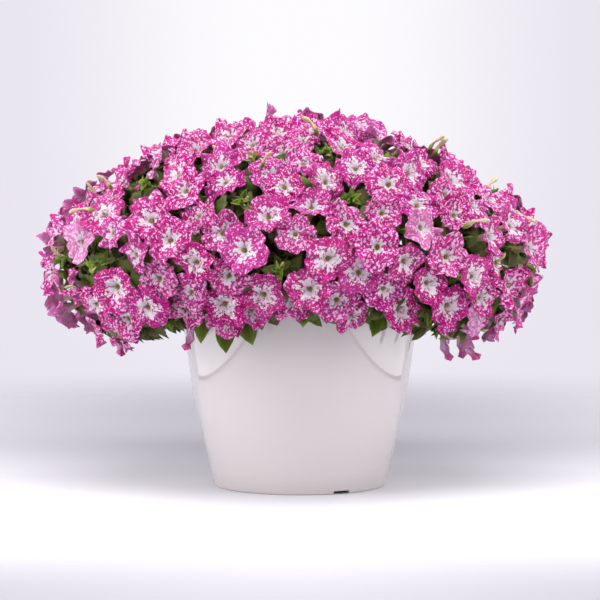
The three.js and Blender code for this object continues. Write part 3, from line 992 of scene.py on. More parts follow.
class PotSettings(bpy.types.PropertyGroup):
    """The planter and its soil"""

    shell: colour_setting("Shell", "Colour of the lacquered shell", (0.64, 0.592, 0.592))
    shell_tint: colour_setting("Tint", "Faint clouds in the lacquer", (0.59, 0.545, 0.55))
    # The colour that the shell darkens towards near its foot.
    foot_darkening: colour_setting("Dust", "Dust along the foot", (0.42, 0.37, 0.33))
    damp: colour_setting("Damp soil", "Colour of the damp soil", (0.018, 0.011, 0.007))
    dry: colour_setting("Dry soil", "Colour of the drier crumbs", (0.075, 0.048, 0.030))
    sides: bpy.props.IntProperty(
        name="Sides", description="Sides of the round shell", default=192, min=24, max=512
    )


class BloomSettings(bpy.types.PropertyGroup):
    """The petals"""

    limb: colour_setting("Limb", "Hot pink of the open limb", (0.66, 0.004, 0.27))
    # The deep limb colour also serves as the painted shade in the petals' creases.
    shade: colour_setting("Deep limb", "Deeper magenta areas", (0.34, 0.002, 0.13))
    violet: colour_setting("Violet limb", "Cooler tint of some blooms", (0.46, 0.006, 0.25))
    fleck: colour_setting("Flecks", "Pale flecks on the limb", (0.98, 0.56, 0.89))
    star: colour_setting("Star", "White star around the throat", (1.0, 0.89, 0.96))
    vein: colour_setting("Veins", "Lilac veins that run into the throat", (0.58, 0.44, 0.55))
    throat: colour_setting("Throat", "Colour deep in the throat", (0.50, 0.36, 0.08))
    tube: colour_setting("Tube", "Outside of the tube", (0.64, 0.54, 0.20))
    back: colour_setting("Back", "Back of the limb", (0.92, 0.48, 0.82))
    pollen: colour_setting("Anthers", "Pollen on the anthers", (0.58, 0.45, 0.18))
    stigma: colour_setting("Stigma", "Tip of the style", (0.52, 0.44, 0.10))
    faded: colour_setting("Faded", "Limb of a bloom past its best", (0.74, 0.54, 0.72))
    fleck_amount: bpy.props.FloatProperty(
        name="Fleck strength", description="How strongly the flecks show",
        default=0.95, min=0.0, max=1.0,
    )
    ruffle: length_setting("Ruffle", "Height of the waves along the limb's edge", 0.0066)


class LeafSettings(bpy.types.PropertyGroup):
    """Leaves and stems"""

    young: colour_setting("Young leaf", "Leaves at the tips of shoots", (0.20, 0.29, 0.022))
    old: colour_setting("Old leaf", "Lower leaves", (0.050, 0.092, 0.009))
    # Painted shade: leaves deep in the dome and the collars are darkened towards this colour,
    # which also gives the darker mottle.
    deep: colour_setting("Inner leaf", "Leaves in the shade of the dome", (0.085, 0.052, 0.024))
    vein: colour_setting("Veins", "Veins and undersides", (0.22, 0.28, 0.09))
    down: colour_setting("Down", "Hairs on the stems", (0.62, 0.66, 0.50))
    inner_count: bpy.props.IntProperty(
        name="Inner leaves", description="Leaves that fill the dome below the blooms",
        default=3800, min=0, max=6000,
    )


class StageSettings(bpy.types.PropertyGroup):
    """Paper floor, air, lights and camera"""

    paper: colour_setting("Paper", "Colour of the paper floor", (0.80, 0.79, 0.83))
    # Painted shade: the colour that the floor is darkened towards.
    paper_shade: colour_setting("Paper shade", "Darker parts of the floor", (0.27, 0.257, 0.30))
    air: colour_setting("Air", "Colour behind the plant", (0.815, 0.784, 0.871))
    # Painted light: the brighter pool of air right behind the plant.
    air_painted_light_pool: colour_setting("Air centre", "Right behind the plant", (0.98, 0.965, 0.99))
    glow: bpy.props.FloatProperty(
        name="Air glow", description="Soft light from all sides", default=0.37, min=0.0
    )
    key: bpy.props.FloatProperty(
        name="Key light", description="Power of each large soft box", default=19.4, min=0.0
    )
    camera_distance: length_setting("Camera distance", "From the pot's axis", 2.6)
    camera_height: length_setting("Camera height", "Above the floor", 0.35)
    lens: bpy.props.FloatProperty(
        name="Lens", description="Focal length in millimetres", default=122.0, min=10.0
    )


# The pot

def pot_radius(height):
    t = height / POT_HEIGHT
    return FOOT_RADIUS + (RIM_RADIUS - FOOT_RADIUS) * (t + POT_BELLY * t * (1 - t))


def rounded(corner_in, corner, corner_out, radius, steps):
    """Points that round a corner of an outline off."""
    corner = np.array(corner)
    start = corner + unit(np.array(corner_in) - corner) * radius
    end = corner + unit(np.array(corner_out) - corner) * radius
    shares = np.linspace(0, 1, steps + 1)[:, None]
    first = start * (1 - shares) ** 2
    middle = 2 * corner * shares * (1 - shares)
    return (first + middle + end * shares**2).tolist()


def pot_profile():
    """The shell's outline, from the middle of its underside over the rim to its floor."""
    inside_foot = FOOT_RADIUS - FOOT_RING_WIDTH
    floor_top = FOOT_RING_HEIGHT + FLOOR_THICKNESS
    wall = np.linspace(0, POT_HEIGHT, 41)
    outer = [[pot_radius(h), h] for h in wall]
    inner = [[pot_radius(h) - POT_WALL, h] for h in wall[::-1] if h > floor_top]
    profile = [[0, FOOT_RING_HEIGHT], [inside_foot - 0.03, FOOT_RING_HEIGHT]]
    profile += rounded(
        [0, FOOT_RING_HEIGHT], [inside_foot, FOOT_RING_HEIGHT], [inside_foot, 0], 0.002, 3
    )
    profile += rounded(
        [inside_foot, FOOT_RING_HEIGHT], [inside_foot, 0], [FOOT_RADIUS, 0], 0.001, 3
    )
    profile += rounded([inside_foot, 0], outer[0], outer[1], 0.0022, 5)
    profile += outer[1:-1]
    profile += rounded(outer[-2], outer[-1], inner[0], POT_WALL / 2 * 0.98, 6)
    profile += rounded(outer[-1], inner[0], inner[1], POT_WALL / 2 * 0.98, 6)
    profile += inner[1:]
    profile += [[pot_radius(floor_top) - POT_WALL - 0.004, floor_top], [0, floor_top]]
    return profile


def pot_cutters():
    """Boxes for the notches in the foot ring and rods for the drain holes."""
    points = []
    faces = []
    for i in range(NOTCH["count"]):
        azimuth = math.radians(NOTCH["azimuth"] + 360 * i / NOTCH["count"])
        turn = Matrix.Rotation(azimuth, 4, "Z")
        middle = FOOT_RADIUS - FOOT_RING_WIDTH / 2
        start = len(points)
        for x in (-1, 1):
            for y in (-1, 1):
                for z in (-1, 1):
                    corner = (middle + x * 0.0135, y * NOTCH["width"] / 2, z * NOTCH["height"])
                    points.append(turn @ Vector(corner))
        box = [(0, 1, 3, 2), (4, 6, 7, 5), (0, 4, 5, 1), (2, 3, 7, 6), (0, 2, 6, 4), (1, 5, 7, 3)]
        faces += [tuple(start + k for k in face) for face in box]
    radius = DRAIN_HOLE["radius"]
    outline = [(0, 0.0), (radius, 0.0), (radius, DRAIN_CUT_TOP), (0, DRAIN_CUT_TOP)]
    for i in range(DRAIN_HOLE["count"]):
        azimuth = 2 * math.pi * (i + 0.5) / DRAIN_HOLE["count"]
        centre = np.array([math.cos(azimuth), math.sin(azimuth), 0]) * DRAIN_HOLE["ring"]
        hole, hole_faces = lathe(outline, 24)
        start = len(points)
        points += [Vector(point) for point in hole + centre]
        faces += [tuple(start + k for k in face) for face in hole_faces]
    return new_mesh_object("pot_cutters", [tuple(p) for p in points], faces, smooth=False)


class PETUNIA_OT_pot(bpy.types.Operator):
    """Make the glossy round planter"""

    bl_idname = "petunia.pot"
    bl_label = "Pot"

    def execute(self, context):
        settings = context.scene.petunia_pot
        points, faces = lathe(pot_profile(), settings.sides)
        pot = new_mesh_object("planter_shell", points, faces)
        cutters = pot_cutters()
        cut = pot.modifiers.new("notches", "BOOLEAN")
        cut.operation = "DIFFERENCE"
        cut.solver = "EXACT"
        cut.object = cutters
        pot = keep_plain_mesh(pot)
        bpy.data.objects.remove(cutters)
        pot.data.shade_smooth()
        pot.data.set_sharp_from_angle(angle=math.radians(40))
        pot.data.materials.clear()
        pot.data.materials.append(pot_material(settings))
        place_piece(pot, "pot_gloss", "pot")
        return {"FINISHED"}


# The soil

def crumb_shapes():
    """Angular crumbs of peat, from a bent octahedron."""
    shapes = []
    corners = np.array(
        [[1, 0, 0], [0, 1, 0], [-1, 0, 0], [0, -1, 0], [0, 0, 1], [0, 0, -1]], dtype=float
    )
    sides = [(0, 1, 4), (1, 2, 4), (2, 3, 4), (3, 0, 4)]
    sides += [(1, 0, 5), (2, 1, 5), (3, 2, 5), (0, 3, 5)]
    for number in range(4):
        stretch = [[between(0.6, 1.2, number * 6 + i, 900)] for i in range(6)]
        shapes.append((corners * stretch, sides, corners))
    return shapes


class PETUNIA_OT_soil(bpy.types.Operator):
    """Fill the pot with crumbly soil"""

    bl_idname = "petunia.soil"
    bl_label = "Soil"

    def execute(self, context):
        settings = context.scene.petunia_pot
        material = soil_material(settings)
        bottom = FOOT_RING_HEIGHT + FLOOR_THICKNESS + FIT
        edge = SOIL_TOP - 0.004
        gap = POT_WALL + FIT
        profile = [[0, bottom]]
        profile += [[pot_radius(h) - gap, h] for h in np.linspace(bottom, edge, 14)]
        rim = profile[-1][0]
        tops = np.linspace(rim, 0, 26)[1:]
        profile += [[r, SOIL_TOP + 0.002 * (1 - r / rim) - 0.004 * (r / rim) ** 8] for r in tops]
        points, faces = lathe(profile, 96)
        for number, point in enumerate(points):
            if point[2] > edge + 0.0005:
                point[2] += between(-0.0012, 0.0012, number, 901)
        soil = new_mesh_object("soil_fill", points, faces)
        soil.data.materials.append(material)
        place_piece(soil, "soil", "soil")
        crumbs = Scatter()
        for i in range(CRUMB_COUNT):
            away = rim * CRUMB_REACH * math.sqrt((i + 0.5) / CRUMB_COUNT)
            place = direction(i * GOLDEN_ANGLE, 0.0) * away
            place[2] = SOIL_TOP + between(-0.001, 0.002, i, 902)
            size = between(0.0012, 0.0036, i, 903)
            along = direction(between(0, ANY_TURN, i, 904), between(-1, 1, i, 905))
            over = direction(between(0, ANY_TURN, i, 906), 1.3)
            crumbs.add(place, along, over, (size, size, size), i % 4, (chance(i, 907), 0, 0))
        shapes = shape_collection("crumb", crumb_shapes())
        piece = crumbs.make("soil_crumbs", shapes, material, scatter_tree())
        piece.data.shade_flat()
        place_piece(piece, "soil")
        return {"FINISHED"}


# Blooms

def lobe_wave(turns):
    """1 along a lobe's midrib and 0 in the notch between two lobes."""
    return np.abs(np.cos(2.5 * turns))


def per_lobe(turns, values):
    """A value for each lobe, which runs smoothly from one lobe's midrib to the next."""
    lobes = turns / (2 * math.pi / LOBES)
    first = np.floor(lobes).astype(int)
    way = smooth_step(0.0, 1.0, lobes - first)
    values = np.array(values)
    return values[first % LOBES] * (1 - way) + values[(first + 1) % LOBES] * way


def bloom_edge(site, turns):
    """Reach and curl of the limb's edge at each turn from the first lobe."""
    index = site.index
    tips = per_lobe(turns, [between(*LOBE_REACH, index, 10 + j) for j in range(LOBES)])
    curls = per_lobe(turns, [between(*LOBE_CURL, index, 20 + j) for j in range(LOBES)])
    depth = 1 - NOTCH_SHARE + between(-0.05, 0.03, index, 15)
    swell = lobe_wave(turns) ** 0.6
    reach = site.radius * FULLNESS * tips * (1 - depth * (1 - swell))
    ripple = np.sin(13 * turns + between(0, ANY_TURN, index, 40))
    flutter = np.sin(17 * turns + between(0, ANY_TURN, index, 97))
    return reach * (1 + 0.022 * ripple + 0.005 * flutter), curls


def bloom_waves(site, turns, ruffle):
    """Height of the frill at the edge."""
    index = site.index
    waves = [(4, 0.45, 41), (6, 0.45, 42), (9, 0.42, 43), (12, 0.16, 100), (15, 0.05, 101)]
    height = sum(
        share * np.sin(count * turns + between(0, ANY_TURN, index, channel))
        for count, share, channel in waves
    )
    return ruffle * height * between(0.6, 1.2, index, 44)


def throat_depth(share):
    """Depth of the throat at a share of the limb's reach."""
    return np.interp(share, list(THROAT_DEPTH), list(THROAT_DEPTH.values()), right=0.0)


def limb_row(site, turns, share, ruffle):
    """Local points of one ring of the limb, at a share of its reach."""
    index = site.index
    reach, curl = bloom_edge(site, turns)
    open_wide = between(-0.10, 0.24, index, 45)
    lean = between(0.0, 0.20, index, 46) * np.cos(turns + between(0, ANY_TURN, index, 102))
    fold = between(-0.005, 0.005, index, 98) * np.cos(2 * turns + between(0, ANY_TURN, index, 99))
    valley = 1 - smooth_step(0.0, 0.45, lobe_wave(turns))
    midrib = smooth_step(0.93, 1.0, lobe_wave(turns))
    rise = bloom_waves(site, turns, ruffle) * share**2.0 + curl * share**3
    rise += site.radius * (open_wide * share**1.6 + lean * share) + fold * share**2
    rise += (0.0010 * midrib - 0.0024 * valley) * share
    rise -= throat_depth(share)
    x = reach * share * np.cos(turns + site.spin)
    y = reach * share * np.sin(turns + site.spin)
    return np.column_stack([x, y, rise])


def tube_line(site, root):
    """The bloom's way from its throat back to the knob, every millimetre."""
    length = np.linalg.norm(site.place - root)
    back = unit(site.place - root)
    ends = [
        site.place,
        site.place - site.facing * length * 0.45,
        root + back * length * 0.25,
        root,
    ]
    line = bezier(np.array(ends), np.linspace(0, 1, 33))
    steps = np.linalg.norm(np.diff(line, axis=0), axis=1)
    travelled = np.concatenate([[0.0], np.cumsum(steps)])
    return line, travelled


def along_line(line, travelled, distance):
    """Point and backward direction of the line at a distance from its start."""
    point = [np.interp(distance, travelled, line[:, k]) for k in range(3)]
    ahead = [np.interp(distance + 0.001, travelled, line[:, k]) for k in range(3)]
    before = [np.interp(distance - 0.001, travelled, line[:, k]) for k in range(3)]
    return np.array(point), unit(np.array(ahead) - np.array(before))


def over_and_under(points, site, neighbours):
    """Moves the limb's overhang above the neighbours that it covers, or below the others."""
    margin = 0.0045
    soft = 0.0012
    total = np.zeros(len(points))
    for other, covers, normal in neighbours:
        overhang = -(points @ normal)
        apart = np.linalg.norm(points - other.place, axis=1)
        weight = smooth_step(-0.005, 0.003, overhang)
        weight *= 1 - smooth_step(1.0, 1.3, apart / (other.radius * FULLNESS))
        height = (points - other.place) @ other.facing
        slant = max(other.facing @ site.cell, 0.5)
        sign = 1 if covers else -1
        lack = margin - sign * height
        shift = (lack + np.sqrt(lack**2 + soft**2)) / 2
        total += sign * np.minimum(shift, 0.013) * weight / slant
    return total[:, None] * site.cell


def neighbours_of(site, others):
    """Nearby blooms, whether this one covers them, and the plane between the two."""
    found = []
    for other in others:
        apart = np.linalg.norm(other.place - site.place)
        if other is site or apart > 2.4 * BLOOM_RADIUS * FULLNESS:
            continue
        middle = (site.place + other.place) / 2
        own = (site.place - middle) @ site.facing / (site.facing @ unit(middle))
        theirs = (other.place - middle) @ other.facing / (other.facing @ unit(middle))
        normal = unit(np.cross(middle, np.cross(site.place, other.place)))
        if normal @ site.place < 0:
            normal = -normal
        covers = own > theirs and site in others
        found.append((other, covers, normal))
    return found


def bloom_rings():
    """Rings of one bloom from the bottom of its throat to the end of its tube."""
    counts = [1] + [COLUMNS] * (1 + len(FRONT_ROWS) + 1 + len(BACK_ROWS))
    counts += [TUBE_COLUMNS] * len(TUBE_ROWS) + [1]
    return ring_numbers(counts)


def limb_rings():
    """(share of the reach, side, distance behind the petal's middle) of each ring of the limb."""
    half = PETAL_THICKNESS / 2
    rings = [(share, 0.0, -half) for share in FRONT_ROWS]
    rings.append((1.0, 0.0, 0.0))
    return rings + [(share, 1.0, half) for share in BACK_ROWS]


def bloom_points(site, root, ruffle, neighbours):
    """Points of one bloom, with each point's place on the petal and its side."""
    turns = np.arange(COLUMNS) * 2 * math.pi / COLUMNS
    few = turns[:: COLUMNS // TUBE_COLUMNS]
    right, up = frame_around(site.facing)
    axes = np.array([right, up, site.facing])
    points = []
    place = []
    side = []

    def add(rows, share, back, angles):
        points.append(rows)
        spread = [np.cos(angles), np.sin(angles), np.full(len(angles), share)]
        place.append(np.column_stack(spread))
        side.append(np.full(len(angles), back))

    def round_ring(centre, first, second, radius, angles):
        ring = np.outer(np.cos(angles + site.spin), first)
        return centre + radius * (ring + np.outer(np.sin(angles + site.spin), second))

    (pit_radius, pit_depth), (_, bottom) = PIT
    add((site.place - site.facing * bottom)[None], 0.0, 0.0, turns[:1])
    pit = site.place - site.facing * pit_depth
    add(round_ring(pit, right, up, pit_radius, turns), 0.06, 0.0, turns)
    for share, back, behind in limb_rings():
        ring = site.place + limb_row(site, turns, share, ruffle) @ axes
        ring += over_and_under(ring, site, neighbours)
        add(ring - site.facing * behind, share, back, turns)
    line, travelled = tube_line(site, root)
    for distance, radius in TUBE_ROWS:
        centre, backward = along_line(line, travelled, distance)
        sideways = unit(right - backward * (right @ backward))
        ring = round_ring(centre, sideways, np.cross(-backward, sideways), radius, few)
        add(ring, 0.28 * (1 - distance / TUBE_END), 1.0, few)
    centre, _ = along_line(line, travelled, TUBE_END)
    add(centre[None], 0.0, 1.0, turns[:1])
    return np.vstack(points), np.vstack(place), np.concatenate(side)


def bloom_tone(site):
    """How faded a bloom is, from 0 to 1."""
    if chance(site.index, 147) > 0.96:
        return between(0.25, 0.55, site.index, 48)
    return between(0.0, 0.08, site.index, 48)


class PETUNIA_OT_blooms(bpy.types.Operator):
    """Make every bunch of blooms, limb by limb"""

    bl_idname = "petunia.blooms"
    bl_label = "Blooms"

    def execute(self, context):
        settings = context.scene.petunia_blooms
        material = petal_material(settings)
        rings = bloom_rings()
        faces = skin(rings)
        count = rings[-1][-1] + 1
        for name, bunches in PETUNIA.own.items():
            for number, bunch in enumerate(bunches, 1):
                points = []
                places = []
                looks = []
                for site in bunch.open_blooms():
                    near = neighbours_of(site, PETUNIA.blooms)
                    bloom, place, side = bloom_points(site, bunch.root, settings.ruffle, near)
                    points.append(bloom + DOME_CENTRE)
                    places.append(place)
                    seed = np.full(count, chance(site.index, 49))
                    tone = np.full(count, bloom_tone(site))
                    looks.append(np.column_stack([seed, side, tone]))
                every = [
                    tuple(k + i * count for k in face)
                    for i in range(len(bunch.open_blooms()))
                    for face in faces
                ]
                node = f"{name}_blooms_{number:02d}"
                piece = new_mesh_object(f"{node}_petals", np.vstack(points), every)
                store_vectors(piece.data, "petal_place", np.vstack(places))
                store_vectors(piece.data, "petal_look", np.vstack(looks))
                piece.data.materials.append(material)
                place_piece(piece, "petals", node)
        return {"FINISHED"}


# Hearts, buds and spent blooms

def heart_shape():
    """A stigma on its style amid five anthers. X runs out of the throat."""
    points = []
    faces = []
    places = []

    def bead(centre, radius, kind):
        start = len(points)
        for axis in range(3):
            for way in (-1, 1):
                points.append(np.array(centre) + np.eye(3)[axis] * radius * way)
                places.append([kind, 0.0, 0.0])
        for x in (0, 1):
            for y in (2, 3):
                for z in (4, 5):
                    corner = (start + x, start + y, start + z)
                    faces.append(corner if (x + y + z) % 2 == 0 else corner[::-1])

    bead((1.0, 0.0, 0.0), 0.26, 1.0)
    for k in range(5):
        turn = 2 * math.pi * k / 5
        away = 0.42 + 0.06 * (k % 2)
        bead((0.72 - 0.12 * (k % 3), away * math.cos(turn), away * math.sin(turn)), 0.17, 0.0)
    return points, faces, places


def rod_shape(stations, sides, twist, crumple):
    """A closed rod along X of (way, radius), one unit long, twisted and crumpled."""
    points = []
    places = []
    for way, radius in stations:
        if radius == 0:
            points.append([way, 0.0, 0.0])
            places.append([way, 0.0, 0.0])
            continue
        for k in range(sides):
            turn = 2 * math.pi * k / sides + twist * way
            away = radius * (1 + crumple * (1 if k % 2 else -1) * (0.5 + way))
            bend = 0.10 * math.sin(math.pi * way)
            points.append([way, away * math.cos(turn), away * math.sin(turn) + bend])
            places.append([way, k % 2, 0.0])
    counts = [1 if radius == 0 else sides for _, radius in stations]
    return points, skin(ring_numbers(counts)), places


def bud_shapes():
    """Two buds and two spent blooms, in the order of their numbers."""
    bud = [(0, 0), (0.04, 0.075), (0.30, 0.085), (0.52, 0.055)]
    bud += [(0.78, 0.095), (0.93, 0.06), (1, 0)]
    slim = [(0, 0), (0.04, 0.065), (0.25, 0.08), (0.45, 0.042), (0.85, 0.07), (0.97, 0.04), (1, 0)]
    limp = [(0, 0), (0.03, 0.055), (0.22, 0.065), (0.45, 0.05), (0.62, 0.105)]
    limp += [(0.76, 0.07), (0.90, 0.115), (1, 0)]
    torn = [(0, 0), (0.03, 0.055), (0.20, 0.06), (0.40, 0.075), (0.55, 0.11)]
    torn += [(0.72, 0.06), (0.88, 0.10), (0.99, 0)]
    return [
        rod_shape(bud, 8, 2.0, 0.06),
        rod_shape(slim, 8, 3.0, 0.04),
        rod_shape(limp, 8, 2.6, 0.34),
        rod_shape(torn, 10, 1.2, 0.42),
    ]


def heart_material(settings):
    shader = Shader("pale_pollen", Roughness=0.7, Specular_IOR_Level=0.2)
    kind, _, _ = shader.split(shader.attribute("place"))
    grain = shader.noise(shader.object_place(), 1500.0, 2.0)
    colour = shader.blend(kind, rgba(settings.pollen), rgba(settings.stigma))
    colour = shader.blend(grain * 0.4, colour, rgba(settings.throat))
    shader.paint(colour)
    shader.relief(grain, 0.0003, 0.6)
    return shader.material


def bud_material(settings, leaves):
    """Green at the calyx, then cream and pink for a bud, or limp violet for a spent bloom."""
    shader = Shader("twisted_buds", Roughness=0.6, Subsurface_Weight=0.08, Subsurface_Scale=0.001)
    way, ridge, _ = shader.split(shader.attribute("place"))
    seed, spent, _ = shader.split(shader.attribute("look"))
    grain = shader.noise(shader.object_place(), 420.0, 3.0)
    tip = shader.blend(spent, rgba(leaves.young), rgba(settings.limb))
    middle = shader.blend(spent, rgba(settings.tube), rgba(settings.back))
    tip = shader.blend(seed * (1 - spent) * 0.9, tip, rgba(settings.tube))
    colour = shader.blend(shader.rise(way, 0.45, 0.85), middle, tip)
    colour = shader.blend(ridge * 0.5, colour, rgba(settings.faded))
    colour = shader.blend(shader.rise(grain, 0.45, 0.7) * 0.4, colour, rgba(settings.shade))
    colour = shader.blend(shader.rise(way, 0.22, 0.36), rgba(leaves.young), colour)
    shader.paint(colour)
    shader.relief(ridge + grain, 0.0008, 0.7)
    return shader.material


SPENT_AZIMUTHS = [198, 212, 236, 330, 348, 15, 55, 80, 110, 140, 170]
LONG_BUDS = [
    ((0.167, -0.052, 0.418), (0.183, -0.062, 0.438)),
    ((0.160, -0.052, 0.424), (0.178, -0.066, 0.441)),
    ((-0.227, -0.140, 0.375), (-0.243, -0.152, 0.391)),
    ((-0.242, -0.174, 0.349), (-0.271, -0.188, 0.348)),
    ((0.022, -0.118, 0.442), (0.004, -0.130, 0.462)),
    ((0.189, -0.236, 0.330), (0.217, -0.250, 0.338)),
    ((-0.045, -0.222, 0.400), (-0.034, -0.234, 0.417)),
    ((0.254, -0.134, 0.344), (0.281, -0.148, 0.337)),
    ((-0.110, 0.190, 0.398), (-0.122, 0.204, 0.416)),
    ((0.090, 0.215, 0.388), (0.108, 0.232, 0.402)),
    ((0.245, 0.100, 0.372), (0.262, 0.112, 0.392)),
]


class PETUNIA_OT_details(bpy.types.Operator):
    """Set the hearts of the blooms, the buds on the shoots and the spent blooms below"""

    bl_idname = "petunia.details"
    bl_label = "Hearts and buds"

    def execute(self, context):
        settings = context.scene.petunia_blooms
        tree = scatter_tree()
        hearts = {name: Scatter() for name in PLANTS}
        buds = {name: Scatter() for name in PLANTS}
        for name, bunches in PETUNIA.own.items():
            for bunch in bunches:
                for site in bunch.open_blooms():
                    place = DOME_CENTRE + site.place - site.facing * 0.0095
                    right, _ = frame_around(site.facing)
                    size = between(0.0036, 0.0044, site.index, 110)
                    look = (chance(site.index, 111), 0.0, 0.0)
                    hearts[name].add(place, site.facing, right, (size,) * 3, 0, look)
                site = bunch.shoot
                for k in range(int(between(0, 3, site.index, 112))):
                    add_bud(buds[name], site, k)
        for i, degrees in enumerate(SPENT_AZIMUTHS):
            add_spent_bloom(buds, math.radians(degrees), i)
        for i, (base, tip) in enumerate(LONG_BUDS):
            add_long_bud(buds, np.array(base), np.array(tip), i)
        heart = shape_collection("heart", [heart_shape()])
        bud = shape_collection("bud", bud_shapes())
        pollen = heart_material(settings)
        twisted = bud_material(settings, context.scene.petunia_leaves)
        for name in PLANTS:
            place_piece(hearts[name].make(f"{name}_hearts", heart, pollen, tree), "petals")
            place_piece(buds[name].make(f"{name}_buds", bud, twisted, tree), "petals")
        return {"FINISHED"}


def add_bud(buds, site, k):
    """A bud that stands beside a shoot's tuft."""
    index = site.index
    turn = between(0, 2 * math.pi, index, 113 + k)
    tilt = math.radians(between(12, 42, index, 116 + k))
    length = between(0.019, 0.030, index, 119 + k)
    place = site.place - site.cell * (SHOOT["depth"] + 0.004)
    look = (chance(index, 122 + k), 0.0, 0.0)
    width = length * between(0.8, 1.0, index, 125 + k)
    add_leaf(buds, place, site.cell, turn, tilt, length, width, k % 2, look)


def add_long_bud(buds, base, tip, number):
    """A cream bud about to open, where the front view has one."""
    length = np.linalg.norm(tip - base) * 1.1
    over = frame_around(unit(tip - base))[1]
    name = plant_at(math.atan2(base[1], base[0]))
    size = (length, length * 1.15, length * 1.15)
    buds[name].add(base, tip - base, over, size, number % 2, (1.0, 0.0, 0.0))


def add_spent_bloom(buds, azimuth, number):
    """A wilted bloom that hangs from the skirt."""
    radius, height = dome_profile(DOME["lowest"] + between(0.0, 0.25, number, 130), azimuth)
    place = direction(azimuth, 0.0) * (radius - 0.012) + [0, 0, height + 0.010]
    outward = direction(azimuth, between(-1.45, -1.0, number, 131))
    length = between(0.034, 0.045, number, 132)
    turn = between(0, 2 * math.pi, number, 133)
    look = (chance(number, 134), 1.0, 0.0)
    shape = 2 + number % 2
    name = plant_at(azimuth)
    add_leaf(buds[name], place, outward, turn, 0.15, length, length, shape, look)


# Leaves and stems

def leaf_shape(stations, ways, fold, arch, wave):
    """A pointed, ovate blade one unit long and one wide, with wedge-thin edges.

    Its place attribute holds the way along, the way across and the side.
    """
    shares = np.linspace(0, 1, stations)
    sideways = np.linspace(-1, 1, ways)
    half = shares**0.6 * (1 - shares) ** 0.8
    half = half / half.max() / 2
    thickness = 0.022
    points = []
    places = []
    top = {}
    low = {}

    def add(x, y, z):
        points.append([x, y, z])
        return len(points) - 1

    for i, share in enumerate(shares):
        for j, way in enumerate(sideways):
            y = half[i] * way
            bend = -arch * share**2 * 0.5 + arch * 0.12 * math.sin(math.pi * share)
            z = bend + fold * abs(y) + wave * math.sin(7 * share) * abs(way) * half[i]
            x = share - arch * 0.12 * share**2
            swell = thickness / 2 * (1 - way * way) * (4 * share * (1 - share)) ** 0.5
            if i in (0, stations - 1):
                if j == 0:
                    tip = add(x, 0.0, bend)
                    places.append([share, 0.0, 0.0])
                top[i, j] = low[i, j] = tip
            elif j in (0, ways - 1):
                top[i, j] = low[i, j] = add(x, y, z)
                places.append([share, way, 0.0])
            else:
                top[i, j] = add(x, y, z + swell)
                low[i, j] = add(x, y, z - swell)
                places += [[share, way, 0.0], [share, way, 1.0]]
    faces = []
    for i in range(stations - 1):
        for j in range(ways - 1):
            up = [top[i, j], top[i + 1, j], top[i + 1, j + 1], top[i, j + 1]]
            down = [low[i, j], low[i, j + 1], low[i + 1, j + 1], low[i + 1, j]]
            for corners in (up, down):
                face = list(dict.fromkeys(corners))
                if len(face) > 2:
                    faces.append(tuple(face))
    return points, faces, places


def leaf_shapes():
    """Four fine blades and two plain ones for the shade, in the order of their numbers."""
    bends = [(0.5, 0.35, 0.0), (0.3, 0.7, 0.10), (0.7, 0.1, 0.06), (0.4, 0.5, -0.08)]
    fine = [leaf_shape(8, 5, fold, arch, wave) for fold, arch, wave in bends]
    plain = [leaf_shape(5, 3, 0.4, 0.4, 0.0), leaf_shape(5, 3, 0.6, 0.8, 0.0)]
    return fine + plain


FINE_LEAVES = 4


def add_leaf(leaves, place, outward, turn, tilt, length, width, shape, look, roll=0.0):
    """A leaf that leaves its place at a tilt from outward, unless a bloom is in its way."""
    right, up = frame_around(outward)
    out = right * math.cos(turn) + up * math.sin(turn)
    along = outward * math.cos(tilt) + out * math.sin(tilt)
    over = outward * math.sin(tilt) - out * math.cos(tilt)
    if crosses_bloom(place, place + along * length * 0.95):
        return
    side = np.cross(over, along)
    over = over * math.cos(roll) + side * math.sin(roll)
    leaves.add(DOME_CENTRE + place, along, over, (length, width, length), shape, look)


def shoot_top(bunch):
    """The top of a shoot, which ends lower where it has a young bloom above it."""
    site = bunch.shoot
    sunk = 0.026 if bunch.young else between(0.0, 0.010, site.index, 29)
    return site.place - site.cell * (SHOOT["depth"] + sunk)


def shoot_leaves(leaves, bunch):
    """The three leaves of the frame's shoot, a collar below them and a young tuft above."""
    site = bunch.shoot
    index = site.index
    top = shoot_top(bunch)
    first = between(0, 2, index, 30)
    for k in range(3):
        turn = first + (k + 0.5) * 2 * math.pi / 3
        tilt = math.radians(LEAF["tilt"] + between(-20, 12, index, 31 + k))
        length = LEAF["length"] * between(0.44, 0.60, index, 34 + k)
        look = (chance(index, 50 + k), between(0.1, 0.7, index, 53 + k), 0.0)
        shape = int(between(0, FINE_LEAVES, index, 56 + k))
        add_leaf(leaves, top, site.cell, turn, tilt, length, length * 0.46, shape, look)
    for k in range(6):
        turn = first + k * GOLDEN_ANGLE + 0.4
        tilt = math.radians(between(8, 36, index, 60 + k % 4))
        length = between(0.010, 0.019, index, 64 + k % 4)
        look = (chance(index, 68 + k % 4), between(0.0, 0.25, index, 72 + k % 4), 0.0)
        high = top + site.cell * 0.002 * k
        add_leaf(leaves, high, site.cell, turn, tilt, length, length * 0.34, k % 4, look)
    for k in range(5):
        turn = first + k * 2 * math.pi / 5
        tilt = math.radians(between(50, 84, index, 76 + k % 4))
        length = between(0.018, 0.028, index, 80 + k % 4)
        # Painted shade: the collar leaves are darkened 0.45 of the way towards the inner leaf
        # colour.
        look = (chance(index, 84 + k), between(0.6, 1.0, index, 88 + k % 4), 0.45)
        low = top - site.cell * between(0.008, 0.022, index, 92 + k % 3)
        add_leaf(leaves, low, site.cell, turn, tilt, length, length * 0.5, k % 4, look)


